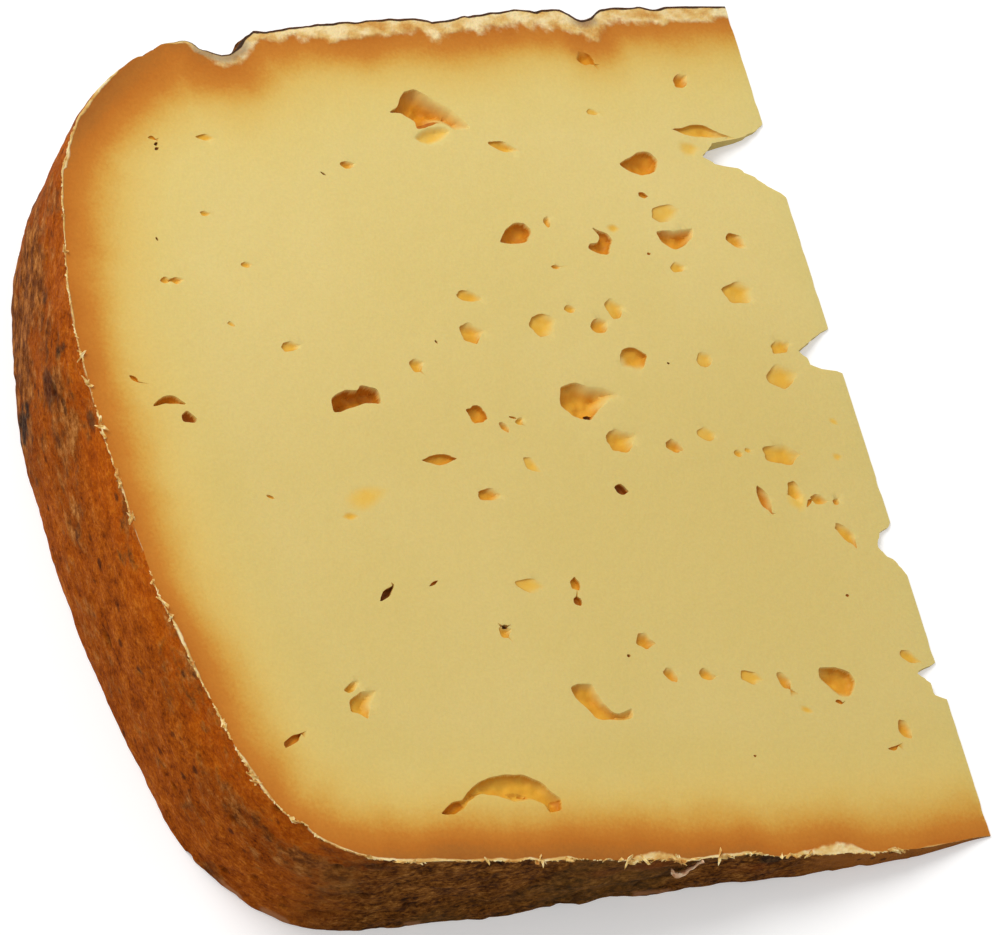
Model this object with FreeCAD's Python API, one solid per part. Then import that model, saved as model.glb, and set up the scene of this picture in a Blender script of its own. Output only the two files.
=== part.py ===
"""A wedge of semi-hard cheese, cut from a small tall wheel and lying on one of its two cut faces.

The wheel's axis runs along Y, just outside the wedge's thin tip edge. The heel, which is the wheel's
side wall, points to -X. The lower cut face lies on Z = 0 and the upper one rises from the tip to the heel.
The origin is the middle of the footprint, on the surface that the wedge lies on.

Places on a cut face are given in two directions: "across" runs from the wheel's axis out to the heel,
and "along" runs up the wheel's axis from its foot face to its top face. All sizes are in millimetres.
"""

import FreeCAD
import Part

import math
import os
import random

Vector = FreeCAD.Vector
AXIS_POINT = Vector(0, 0, 0)
AXIS = Vector(0, 1, 0)

# The wheel. A rim's inset is how much nearer to the axis it is than the belly, before it is rounded.
wheel_radius = 95.2  # axis to the belly of the heel
wheel_height = 106.0  # foot face to top face, measured at the axis
belly_height = 58.0  # foot face to the belly, where the heel stands out most
top_rim_inset = 8.0
foot_rim_inset = 10.0
top_slump = 7.2  # how far the top face falls from the axis to its rim
foot_slump = 3.4  # how far the foot face rises from the axis to its rim
top_shoulder_radius = 27.0  # rounding between the top face and the heel
foot_shoulder_radius = 19.0  # rounding between the foot face and the heel

# The cut.
wedge_angle = 13.6  # degrees between the two cut faces
tip_setback = 1.0  # distance from the wheel's axis to the wedge's blunt tip

# Furrows that the folds of the moulding cloth pressed into the top face, as rings round the axis:
# each has a radius, a width and a depth.
FURROWS = [
    (68.4, 10.0, 2.3),
    (20.6, 5.0, 1.0),
]

# Openings are the small torn holes of this kind of cheese, where a cut passes through them. Each is a
# hollow with flat facets, steep at its sharp end and shallow towards its round end.
opening_sides = 9
opening_roughness = 0.10  # how far an opening's corners stray, as a share of its size
sharp_end_width = 0.45  # width near an opening's sharp end, as a share of that near its round end
floor_share = 0.5  # size of an opening's floor, as a share of its mouth
floor_shift = 0.15  # how far the floor lies towards the sharp end, as a share of the length
floor_height = 0.2  # how far the floor's edge stands above its lowest point, as a share of the depth
opening_floor = 0.35  # paste left under an opening at least, so that it stays shut

# Openings in the upper cut face. Each has its place as shares of the radius and the height, its length,
# width and depth, and its turn in degrees, anticlockwise from the way that leads from heel to tip.
UPPER_OPENINGS = [
    (0.474, 0.872, 6.4, 4.2, 2.6, -23),
    (0.452, 0.838, 5.6, 2.8, 1.0, 6),
    (0.379, 0.824, 3.6, 1.4, 0.8, -14),
    (0.193, 0.806, 4.8, 2.9, 1.9, 16),
    (0.396, 0.722, 4.3, 2.4, 1.8, 18),
    (0.289, 0.709, 2.9, 1.8, 1.4, 26),
    (0.185, 0.743, 4.2, 2.2, 0.7, 14),
    (0.183, 0.715, 5.2, 2.6, 1.6, 6),
    (0.232, 0.932, 3.0, 1.9, 1.3, -33),
    (0.107, 0.906, 2.3, 1.6, 1.1, 33),
    (0.484, 0.645, 3.1, 1.6, 0.7, -6),
    (0.296, 0.629, 2.9, 2.4, 0.8, 18),
    (0.398, 0.611, 3.9, 2.8, 1.0, 20),
    (0.322, 0.609, 2.6, 2.0, 1.0, 30),
    (0.496, 0.603, 3.2, 2.2, 1.1, 15),
    (0.291, 0.569, 3.7, 2.6, 1.2, 16),
    (0.580, 0.568, 2.2, 1.6, 0.9, 25),
    (0.669, 0.530, 6.2, 2.7, 3.0, 10),
    (0.520, 0.510, 2.7, 2.2, 1.3, 20),
    (0.377, 0.523, 7.0, 4.0, 1.9, 186),
    (0.342, 0.475, 4.1, 2.8, 1.1, 21),
    (0.271, 0.466, 2.2, 1.6, 0.9, 36),
    (0.586, 0.459, 4.2, 1.2, 1.0, 0),
    (0.532, 0.418, 3.1, 1.5, 1.0, 3),
    (0.360, 0.419, 1.8, 1.4, 1.6, 17),
    (0.098, 0.707, 3.0, 2.1, 1.0, -30),
    (0.117, 0.645, 4.2, 3.1, 0.9, 23),
    (0.095, 0.546, 3.8, 2.9, 0.8, 24),
    (0.129, 0.453, 4.7, 2.6, 0.9, 6),
    (0.174, 0.403, 3.0, 1.6, 1.4, 74),
    (0.129, 0.404, 2.9, 1.8, 1.0, 59),
    (0.075, 0.357, 3.6, 1.8, 0.8, -71),
    (0.389, 0.249, 2.5, 1.9, 1.0, 0),
    (0.221, 0.194, 2.3, 1.8, 1.1, 77),
    (0.146, 0.194, 4.8, 3.6, 1.8, -12),
    (0.484, 0.190, 4.6, 2.4, 1.3, -64),
    (0.772, 0.197, 3.6, 2.4, 0.9, 40),
    (0.684, 0.083, 4.6, 1.5, 1.2, 24),
    (0.613, 0.105, 6.4, 1.8, 1.3, 182),
    (0.581, 0.088, 3.6, 1.4, 1.2, -46),
    (0.868, 0.161, 3.4, 1.0, 1.3, 28),
    (0.905, 0.535, 3.8, 1.1, 1.2, 14),
    (0.884, 0.516, 1.7, 1.2, 1.4, -12),
    (0.702, 0.312, 2.5, 0.8, 1.5, 34),
]
upper_opening_seed = 5

# Openings that break out through the thin tip edge. Each has its place as a share of the height, its
# length along the edge and how far it reaches in from the axis.
TIP_OPENINGS = [
    (0.815, 9.6, 5.2),
    (0.575, 5.4, 4.6),
    (0.333, 5.8, 3.4),
    (0.179, 3.0, 2.6),
]
tip_opening_seed = 8

# Openings in the lower cut face, scattered where the wedge is thick. Ranges are shares of the radius
# across and of the height along.
lower_opening_count = 14
lower_opening_gap = 8.0  # least distance between the middles of two of them
lower_opening_lengths = (2.4, 5.2)
lower_opening_depth = 1.1
lower_opening_across = (0.45, 0.86)
lower_opening_along = (0.12, 0.88)
lower_opening_seed = 11


def slumped(radius, rim, slump):
    """How far a face of the wheel has slumped at a radius, from a given slump at its rim."""
    sphere = (rim**2 + slump**2) / (2 * slump)
    return sphere - math.sqrt(sphere**2 - radius**2)


def foot_rim():
    """Radius of the foot face's sharp rim."""
    return wheel_radius - foot_rim_inset


def top_rim():
    """Radius of the top face's sharp rim."""
    return wheel_radius - top_rim_inset


def foot_point(radius):
    """A point on the wheel's foot face, at a radius from the axis."""
    return Vector(-radius, slumped(radius, foot_rim(), foot_slump), 0)


def top_point(radius):
    """A point on the wheel's top face, at a radius from the axis."""
    return Vector(-radius, wheel_height - slumped(radius, top_rim(), top_slump), 0)


def face_edge(face_point, rim):
    """The section's edge along one face of the wheel, from the blunt tip out to the rim."""
    half_way = (tip_setback + rim) / 2
    return Part.Arc(face_point(tip_setback), face_point(half_way), face_point(rim)).toShape()


def heel_edge(rim_point):
    """The section's edge from a sharp rim to the belly, which it reaches parallel to the axis."""
    belly = Vector(-wheel_radius, belly_height, 0)
    inset = rim_point.x - belly.x
    rise = rim_point.y - belly.y
    bend_radius = (inset**2 + rise**2) / (2 * inset)
    centre = belly + Vector(bend_radius, 0, 0)
    half_way = (rim_point - centre) + (belly - centre)
    half_way.normalize()
    return Part.Arc(rim_point, centre + half_way * bend_radius, belly).toShape()


def wheel_section():
    """Half of the wheel's section, with sharp rims, as a face in the XY plane."""
    foot = face_edge(foot_point, foot_rim())
    heel_foot = heel_edge(foot_point(foot_rim()))
    heel_top = heel_edge(top_point(top_rim()))
    top = face_edge(top_point, top_rim())
    tip = Part.LineSegment(top_point(tip_setback), foot_point(tip_setback)).toShape()
    return Part.Face(Part.Wire([foot, heel_foot, heel_top, top, tip]))


def rim_edge(body, rim_point):
    """The body's edge that runs round the axis through a rim of the section."""

    def miss(edge):
        middle = edge.valueAt((edge.FirstParameter + edge.LastParameter) / 2)
        radius_miss = math.hypot(middle.x, middle.z) + rim_point.x
        return math.hypot(radius_miss, middle.y - rim_point.y)

    return min(body.Edges, key=miss)


def wheel_sector():
    """The wedge before its furrows and openings: the section turned through the cut's angle."""
    body = wheel_section().revolve(AXIS_POINT, AXIS, wedge_angle)
    foot_edge = rim_edge(body, foot_point(foot_rim()))
    body = body.makeFillet(foot_shoulder_radius, [foot_edge])
    top_edge = rim_edge(body, top_point(top_rim()))
    return body.makeFillet(top_shoulder_radius, [top_edge])


def furrow(radius, width, depth):
    """A ring round the axis, whose lower side is the furrow's trough in the top face."""
    section_radius = (width**2 / 4 + depth**2) / (2 * depth)
    centre = top_point(radius) + Vector(0, section_radius - depth, 0)
    section = Part.Face(Part.Wire(Part.Circle(centre, Vector(0, 0, 1), section_radius).toShape()))
    run_past = 2.0  # degrees beyond each cut
    section.rotate(AXIS_POINT, AXIS, -run_past)
    return section.revolve(AXIS_POINT, AXIS, wedge_angle + 2 * run_past)


def torn_outline(length, width, chance):
    """Corners of an opening's mouth in the XY plane, egg-shaped, with one sharp corner at -X."""
    corners = []
    for number in range(opening_sides):
        stray = chance.uniform(-opening_roughness, opening_roughness) if number else 0.0
        angle = math.pi + 2 * math.pi * (number + 2 * stray) / opening_sides
        taper = sharp_end_width + (1 - sharp_end_width) * (1 + math.cos(angle)) / 2
        x = length / 2 * math.cos(angle)
        y = width / 2 * math.sin(angle) * taper * (1 + stray)
        corners.append(Vector(x, y, 0))
    return corners


def flat_face(corners):
    """A flat face with the given corners."""
    return Part.Face(Part.makePolygon(corners + corners[:1]))


def pocket(length, width, depth, chance):
    """The hollow of one opening, lying along X. The cut face is Z = 0 and the paste is below it."""
    mouth = torn_outline(length, width, chance)
    floor_middle = Vector(-floor_shift * length, 0, -depth * (1 - floor_height))
    floor = [floor_middle + corner * floor_share for corner in mouth]
    lift = 0.5  # how far the hollow runs past the cut face, as a share of the floor's depth
    brim = [corner + (corner - low) * lift for corner, low in zip(mouth, floor)]
    lowest = Vector(floor_middle.x, 0, -depth)
    faces = [flat_face(brim)]
    for number in range(opening_sides):
        following = (number + 1) % opening_sides
        faces.append(flat_face([brim[number], brim[following], floor[following], floor[number]]))
        faces.append(flat_face([floor[number], floor[following], lowest]))
    return Part.Solid(Part.Shell(faces))


def paste_depth(across):
    """Depth of the paste below the upper cut face, at a distance from the axis."""
    return across * math.sin(math.radians(wedge_angle))


def upper_openings():
    """All the openings of the upper cut face, in place."""
    chance = random.Random(upper_opening_seed)
    openings = []
    for across_share, along_share, length, width, depth, turn in UPPER_OPENINGS:
        across = across_share * wheel_radius
        hollow = pocket(length, width, min(depth, paste_depth(across) - opening_floor), chance)
        hollow.rotate(Vector(0, 0, 0), Vector(0, 0, 1), turn)
        hollow.translate(Vector(-across, along_share * wheel_height, 0))
        hollow.rotate(AXIS_POINT, AXIS, wedge_angle)
        openings.append(hollow)
    return openings


def lower_openings():
    """All the openings of the lower cut face, none nearer to another than the gap."""
    chance = random.Random(lower_opening_seed)
    placed = []
    openings = []
    while len(openings) < lower_opening_count:
        across = chance.uniform(*lower_opening_across) * wheel_radius
        along = chance.uniform(*lower_opening_along) * wheel_height
        if any(math.dist((across, along), other) < lower_opening_gap for other in placed):
            continue
        placed.append((across, along))
        length = chance.uniform(*lower_opening_lengths)
        width = length * chance.uniform(0.4, 0.8)
        hollow = pocket(length, width, lower_opening_depth, chance)
        hollow.rotate(Vector(0, 0, 0), Vector(0, 0, 1), chance.uniform(0, 360))
        hollow.rotate(Vector(0, 0, 0), Vector(1, 0, 0), 180)
        hollow.translate(Vector(-across, along, 0))
        openings.append(hollow)
    return openings


def tip_openings():
    """The openings that break out through the tip edge, each right through the wedge."""
    chance = random.Random(tip_opening_seed)
    openings = []
    for along_share, length, reach in TIP_OPENINGS:
        outline = flat_face(torn_outline(length, 2 * reach, chance))
        height = 2 * paste_depth(reach)
        hollow = outline.extrude(Vector(0, 0, 2 * height))
        hollow.rotate(Vector(0, 0, 0), Vector(0, 0, 1), 90)
        hollow.translate(Vector(0, along_share * wheel_height, -height))
        openings.append(hollow)
    return openings


def cheese_wedge():
    """The whole wedge, one solid, with its origin at the middle of its footprint."""
    tools = [furrow(*sizes) for sizes in FURROWS]
    tools += upper_openings() + lower_openings() + tip_openings()
    body = wheel_sector().cut(tools)
    tip_x = -tip_setback * math.cos(math.radians(wedge_angle))
    body.translate(Vector((wheel_radius - tip_x) / 2, -wheel_height / 2, 0))
    return body


def main():
    """Builds the wedge and writes it to parts/."""
    os.makedirs("parts", exist_ok=True)
    body = cheese_wedge()
    print("solids", len(body.Solids), "valid", body.isValid(), "cm3", round(body.Volume / 1000, 1))
    body.Solids[0].exportStep("parts/cheese_wedge.step")


main()
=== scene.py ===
"""The looks of a wedge of toma cheese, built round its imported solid.

The wedge lies on one of its two cut faces. Its wheel's axis runs along Y just outside the thin tip edge,
the heel points to -X, and the upper cut face rises from the tip to the heel. Shapes are worked out in
millimetres in the wheel's own terms: "across" is the distance from the axis, "along" is the height above
the wheel's foot face, and "share" is how far round the axis it is from the lower cut face to the upper one.
Meshes are made in metres.
"""

import logging
import math
import random
from dataclasses import dataclass, field
from enum import Enum

import bmesh
import bpy
import numpy as np
from mathutils import Matrix, Vector
from mathutils import noise as perlin
from mathutils.geometry import delaunay_2d_cdt
from mathutils.kdtree import KDTree


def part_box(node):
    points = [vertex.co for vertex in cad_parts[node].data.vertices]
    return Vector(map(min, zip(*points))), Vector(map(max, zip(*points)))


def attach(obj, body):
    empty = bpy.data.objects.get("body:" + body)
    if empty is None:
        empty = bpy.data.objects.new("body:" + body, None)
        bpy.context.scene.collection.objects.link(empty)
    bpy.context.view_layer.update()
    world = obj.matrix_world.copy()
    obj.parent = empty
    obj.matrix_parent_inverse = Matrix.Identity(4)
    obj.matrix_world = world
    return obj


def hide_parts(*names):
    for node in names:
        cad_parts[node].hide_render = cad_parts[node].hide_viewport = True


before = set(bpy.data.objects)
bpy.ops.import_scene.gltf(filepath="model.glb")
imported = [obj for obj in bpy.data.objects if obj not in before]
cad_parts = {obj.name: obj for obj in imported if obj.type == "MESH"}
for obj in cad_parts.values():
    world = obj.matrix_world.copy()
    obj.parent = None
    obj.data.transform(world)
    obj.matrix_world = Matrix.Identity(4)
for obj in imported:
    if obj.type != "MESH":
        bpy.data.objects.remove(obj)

LOG = logging.getLogger("toma_wedge")
MM = 0.001
BODY = "root"
NODE = "cheese_wedge"
Point = tuple[float, float]
Triple = tuple[float, float, float]
Colour = tuple[int, int, int]
Stops = tuple[tuple[float, Colour], ...]
Socket = bpy.types.NodeSocket


def srgb(red: int, green: int, blue: int) -> tuple[float, float, float, float]:
    """Turns a colour as a painter names it into the linear one that shaders take.

    Args:
        red: share of red, 0 to 255.
        green: share of green, 0 to 255.
        blue: share of blue, 0 to 255.

    Returns:
        The linear red, green, blue and an alpha of 1.
    """
    shares = [value / 255 for value in (red, green, blue)]
    linear = [s / 12.92 if s <= 0.04045 else ((s + 0.055) / 1.055) ** 2.4 for s in shares]
    return (linear[0], linear[1], linear[2], 1.0)


def smooth(low: float, high: float, value: np.ndarray) -> np.ndarray:
    """Rises smoothly from 0 at low to 1 at high.

    Args:
        low: where the rise starts.
        high: where it ends.
        value: the values to look up.

    Returns:
        A share from 0 to 1 for each value.
    """
    share = np.clip((value - low) / (high - low), 0.0, 1.0)
    return share * share * (3 - 2 * share)


def lumps(places: np.ndarray, size: float, seed: int) -> np.ndarray:
    """Smooth noise with lumps of one size.

    Args:
        places: points, one to a row, in millimetres.
        size: the lumps' size in millimetres.
        seed: picks one of many patterns.

    Returns:
        A height from about -1 to 1 for each point.
    """
    shift = Vector((seed * 17.3 + 0.5, seed * 5.7 + 0.5, seed * 11.1 + 0.5))
    return np.array([perlin.noise(Vector(place) / size + shift) for place in places])


def layers(places: np.ndarray, parts: tuple[Point, ...], seed: int) -> np.ndarray:
    """Smooth noise made of layers of lumps.

    Args:
        places: points, one to a row, in millimetres.
        parts: each layer's height and the size of its lumps in millimetres.
        seed: the first layer's pattern; each further layer takes the next one.

    Returns:
        The layers' height together for each point.
    """
    return sum(height * lumps(places, size, seed + step) for step, (height, size) in enumerate(parts))


def pits(places: np.ndarray, gap: float, share: float, seed: int) -> np.ndarray:
    """Round pits scattered about one gap apart.

    Args:
        places: points, one to a row, in millimetres.
        gap: the distance between pits in millimetres.
        share: a pit's radius as a share of the gap.
        seed: picks one of many patterns.

    Returns:
        1 in the middle of a pit, falling to 0 at its rim.
    """
    shift = Vector((seed * 3.1, seed * 7.9, seed * 1.7))
    nearest = [perlin.voronoi(Vector(place) / gap + shift)[0][0] for place in places]
    return 1 - smooth(0.0, share, np.array(nearest))


def cracks(places: np.ndarray, gap: float, width: float, seed: int) -> np.ndarray:
    """Fine cracks between cells scattered about one gap apart.

    Args:
        places: points, one to a row, in millimetres.
        gap: the distance between cells in millimetres.
        width: a crack's width as a share of the gap.
        seed: picks one of many patterns.

    Returns:
        1 in the middle of a crack, falling to 0 at its sides.
    """
    shift = Vector((seed * 4.1, seed * 2.9, seed * 6.7))
    found = [perlin.voronoi(Vector(place) / gap + shift)[0] for place in places]
    return 1 - smooth(0.0, width, np.array([distances[1] - distances[0] for distances in found]))


@dataclass(frozen=True)
class Arc:
    """A stretch of a circle in the wheel's section, run anticlockwise."""

    centre: np.ndarray
    radius: float
    start: np.ndarray
    end: np.ndarray

    def points(self, spacing: float) -> np.ndarray:
        """Points from the arc's start up to but without its end.

        Args:
            spacing: the distance between points.

        Returns:
            The points as rows of across and along.
        """
        first = math.atan2(*(self.start - self.centre)[::-1])
        last = math.atan2(*(self.end - self.centre)[::-1])
        if last < first:
            last += 2 * math.pi
        count = max(2, round((last - first) * self.radius / spacing))
        angles = first + (last - first) * np.arange(count) / count
        return self.centre + self.radius * np.column_stack([np.cos(angles), np.sin(angles)])


def nested_centre(one: Arc, other: Arc, radius: float, near: np.ndarray) -> np.ndarray:
    """The centre of a circle that touches two larger ones from the inside.

    Args:
        one: the first larger circle.
        other: the second larger circle.
        radius: the inner circle's radius.
        near: picks the solution nearest to this point.

    Returns:
        The centre.
    """
    reach_one = one.radius - radius
    reach_other = other.radius - radius
    apart = other.centre - one.centre
    distance = float(np.linalg.norm(apart))
    ahead = (reach_one**2 - reach_other**2 + distance**2) / (2 * distance)
    aside = math.sqrt(reach_one**2 - ahead**2)
    unit = apart / distance
    normal = np.array([-unit[1], unit[0]])
    choices = [one.centre + unit * ahead + normal * side for side in (aside, -aside)]
    return min(choices, key=lambda choice: float(np.linalg.norm(choice - near)))


@dataclass(frozen=True)
class Furrow:
    """A fold of the moulding cloth pressed into the wheel's top face."""

    across: float
    width: float
    depth: float

    def depth_at(self, across: np.ndarray) -> np.ndarray:
        """The furrow's depth at each distance from the axis."""
        share = np.clip(np.abs(across - self.across) / (self.width / 2), 0.0, 1.0)
        return self.depth * (0.5 + 0.5 * np.cos(math.pi * share))


@dataclass(frozen=True)
class Notch:
    """An opening that breaks out through the thin tip edge.

    Its places are pairs of how far it reaches in from the edge and how far along it does so.
    """

    places: tuple[Point, ...]

    def reach_at(self, along: np.ndarray) -> np.ndarray:
        """How far the notch reaches in from the edge.

        Args:
            along: heights above the foot face.

        Returns:
            The reach at each height, and 0 above and below the notch.
        """
        rising = sorted(self.places, key=lambda place: place[1])
        reach, height = zip(*rising)
        return np.interp(along, height, reach, left=0.0, right=0.0)


@dataclass
class Wheel:
    """The wheel that the wedge is cut from, and where its axis lies."""

    radius: float = 95.2
    height: float = 106.0
    belly: float = 58.0
    top_inset: float = 8.0
    foot_inset: float = 10.0
    top_slump: float = 7.2
    foot_slump: float = 3.4
    top_shoulder: float = 27.0
    foot_shoulder: float = 19.0
    cut: float = math.radians(13.6)
    setback: float = 1.0
    foot_dish: float = 1.1
    dish_width: float = 7.0
    spacing: float = 0.4
    tip_spacing: float = 0.3
    furrows: tuple[Furrow, ...] = (
        Furrow(68.4, 10.0, 2.4),
        Furrow(39.5, 7.0, 0.5),
        Furrow(20.6, 6.0, 1.2),
        Furrow(11.0, 4.0, 0.4),
    )
    notches: tuple[Notch, ...] = (
        Notch(
            ((0.0, 90.3), (1.0, 89.5), (3.7, 88.5), (7.7, 87.8), (9.3, 86.2), (7.8, 84.9), (5.5, 84.7),
             (2.8, 82.8), (0.0, 80.8))
        ),
        Notch(
            ((0.0, 63.7), (2.1, 62.8), (3.8, 61.7), (4.7, 61.0), (4.2, 60.1), (3.8, 59.1), (2.4, 58.6),
             (0.0, 58.2))
        ),
        Notch(((0.0, 39.1), (1.8, 38.0), (2.7, 36.5), (2.2, 35.3), (1.0, 34.6), (0.0, 32.7))),
        Notch(((0.0, 21.9), (1.6, 21.4), (2.9, 20.9), (1.5, 19.6), (1.7, 18.2), (0.0, 17.5))),
    )
    axis_x: float = field(init=False)
    middle_y: float = field(init=False)

    def __post_init__(self) -> None:
        """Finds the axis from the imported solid's box."""
        low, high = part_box(NODE)
        self.axis_x = high[0] / MM + self.setback * math.cos(self.cut)
        self.middle_y = (low[1] + high[1]) / 2 / MM - self.height / 2

    def arcs(self) -> list[Arc]:
        """The section's arcs from the tip along the foot, up the heel and back along the top.

        Returns:
            Seven arcs, each starting where the one before ends.
        """
        nothing = np.zeros(2)
        foot_rim = self.radius - self.foot_inset
        top_rim = self.radius - self.top_inset
        foot_sphere = (foot_rim**2 + self.foot_slump**2) / (2 * self.foot_slump)
        top_sphere = (top_rim**2 + self.top_slump**2) / (2 * self.top_slump)
        foot = Arc(np.array([0.0, foot_sphere]), foot_sphere, nothing, nothing)
        top = Arc(np.array([0.0, self.height - top_sphere]), top_sphere, nothing, nothing)
        foot_rise = self.belly - self.foot_slump
        top_rise = self.height - self.top_slump - self.belly
        low_bend = (self.foot_inset**2 + foot_rise**2) / (2 * self.foot_inset)
        high_bend = (self.top_inset**2 + top_rise**2) / (2 * self.top_inset)
        low_heel = Arc(np.array([self.radius - low_bend, self.belly]), low_bend, nothing, nothing)
        high_heel = Arc(np.array([self.radius - high_bend, self.belly]), high_bend, nothing, nothing)
        foot_corner = np.array([foot_rim, self.foot_slump])
        top_corner = np.array([top_rim, self.height - self.top_slump])
        low_centre = nested_centre(foot, low_heel, self.foot_shoulder, foot_corner)
        high_centre = nested_centre(top, high_heel, self.top_shoulder, top_corner)

        def touch(arc: Arc, towards: np.ndarray) -> np.ndarray:
            """The place on an arc's circle in the direction of another circle's centre."""
            way = towards - arc.centre
            return arc.centre + way / np.linalg.norm(way) * arc.radius

        slope = self.setback**2 / 2
        start = np.array([self.setback, slope / foot_sphere])
        belly = np.array([self.radius, self.belly])
        end = np.array([self.setback, self.height - slope / top_sphere])
        joints = [start, touch(foot, low_centre), touch(low_heel, low_centre), belly]
        joints += [touch(high_heel, high_centre), touch(top, high_centre), end]
        circles = [
            (foot.centre, foot.radius),
            (low_centre, self.foot_shoulder),
            (low_heel.centre, low_heel.radius),
            (high_heel.centre, high_heel.radius),
            (high_centre, self.top_shoulder),
            (top.centre, top.radius),
        ]
        return [Arc(*circle, *ends) for circle, *ends in zip(circles, joints[:-1], joints[1:])]

    def rind_line(self) -> np.ndarray:
        """The rind's outline in the section, with the furrows pressed in.

        Returns:
            Rows of across and along, from the tip along the foot and round to the tip again.
        """
        arcs = self.arcs()
        line = np.vstack([arc.points(self.spacing) for arc in arcs] + [arcs[-1].end])
        on_top = line[:, 1] > self.height / 2
        for furrow in self.furrows:
            line[on_top, 1] -= furrow.depth_at(line[on_top, 0])
        from_tip = line[~on_top, 0] - self.setback
        line[~on_top, 1] += self.foot_dish * np.exp(-((from_tip / self.dish_width) ** 2))
        return line

    def fold_at(self, section: np.ndarray) -> np.ndarray:
        """How deep in a furrow of the top face each place of the section lies, from 0 to 1."""
        depth = sum(furrow.depth_at(section[:, 0]) for furrow in self.furrows)
        return smooth(0.3, 1.1, depth) * (section[:, 1] > self.height / 2)

    def tip_line(self) -> np.ndarray:
        """The tip edge's outline, with its notches, without its two ends.

        Returns:
            Rows of across and along, from top to foot.
        """
        count = round(self.height / self.tip_spacing)
        along = np.linspace(self.height, self.foot_dish, count)[1:-1]
        reach = sum(notch.reach_at(along) for notch in self.notches)
        places = np.column_stack([reach, along, np.zeros_like(along)])
        ragged = layers(places, ((0.35, 0.9), (0.25, 0.45)), 3)
        torn = smooth(0.05, 0.8, reach)
        chipped = 0.25 * np.maximum(0.0, lumps(places, 2.5, 5))
        return np.column_stack([self.setback + reach + ragged * torn + chipped, along])

    def to_space(self, across: np.ndarray, along: np.ndarray, angle: np.ndarray) -> np.ndarray:
        """Turns wheel terms into places in the part's frame, in millimetres.

        Args:
            across: distances from the axis.
            along: heights above the foot face.
            angle: angles round the axis from the lower cut face, in radians.

        Returns:
            The places as rows of x, y and z.
        """
        x = self.axis_x - across * np.cos(angle)
        y = along + self.middle_y
        return np.column_stack([x, y, across * np.sin(angle)])


class Crispness(Enum):
    """How an opening's rim meets the cut face."""

    TORN = "crisp at one side and fading out at the other"
    CUT = "crisp all round"
    WORN = "soft all round"

    def share(self, facing: np.ndarray) -> np.ndarray:
        """How crisp the rim is.

        Args:
            facing: angles in radians from the rim's crispest side.

        Returns:
            1 where it is crisp and 0 where it fades out, at each angle.
        """
        if self is Crispness.TORN:
            return 0.5 + 0.5 * np.tanh(2.2 * (np.cos(facing) + 0.25))
        return np.full_like(facing, 1.0 if self is Crispness.CUT else 0.0)


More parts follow.
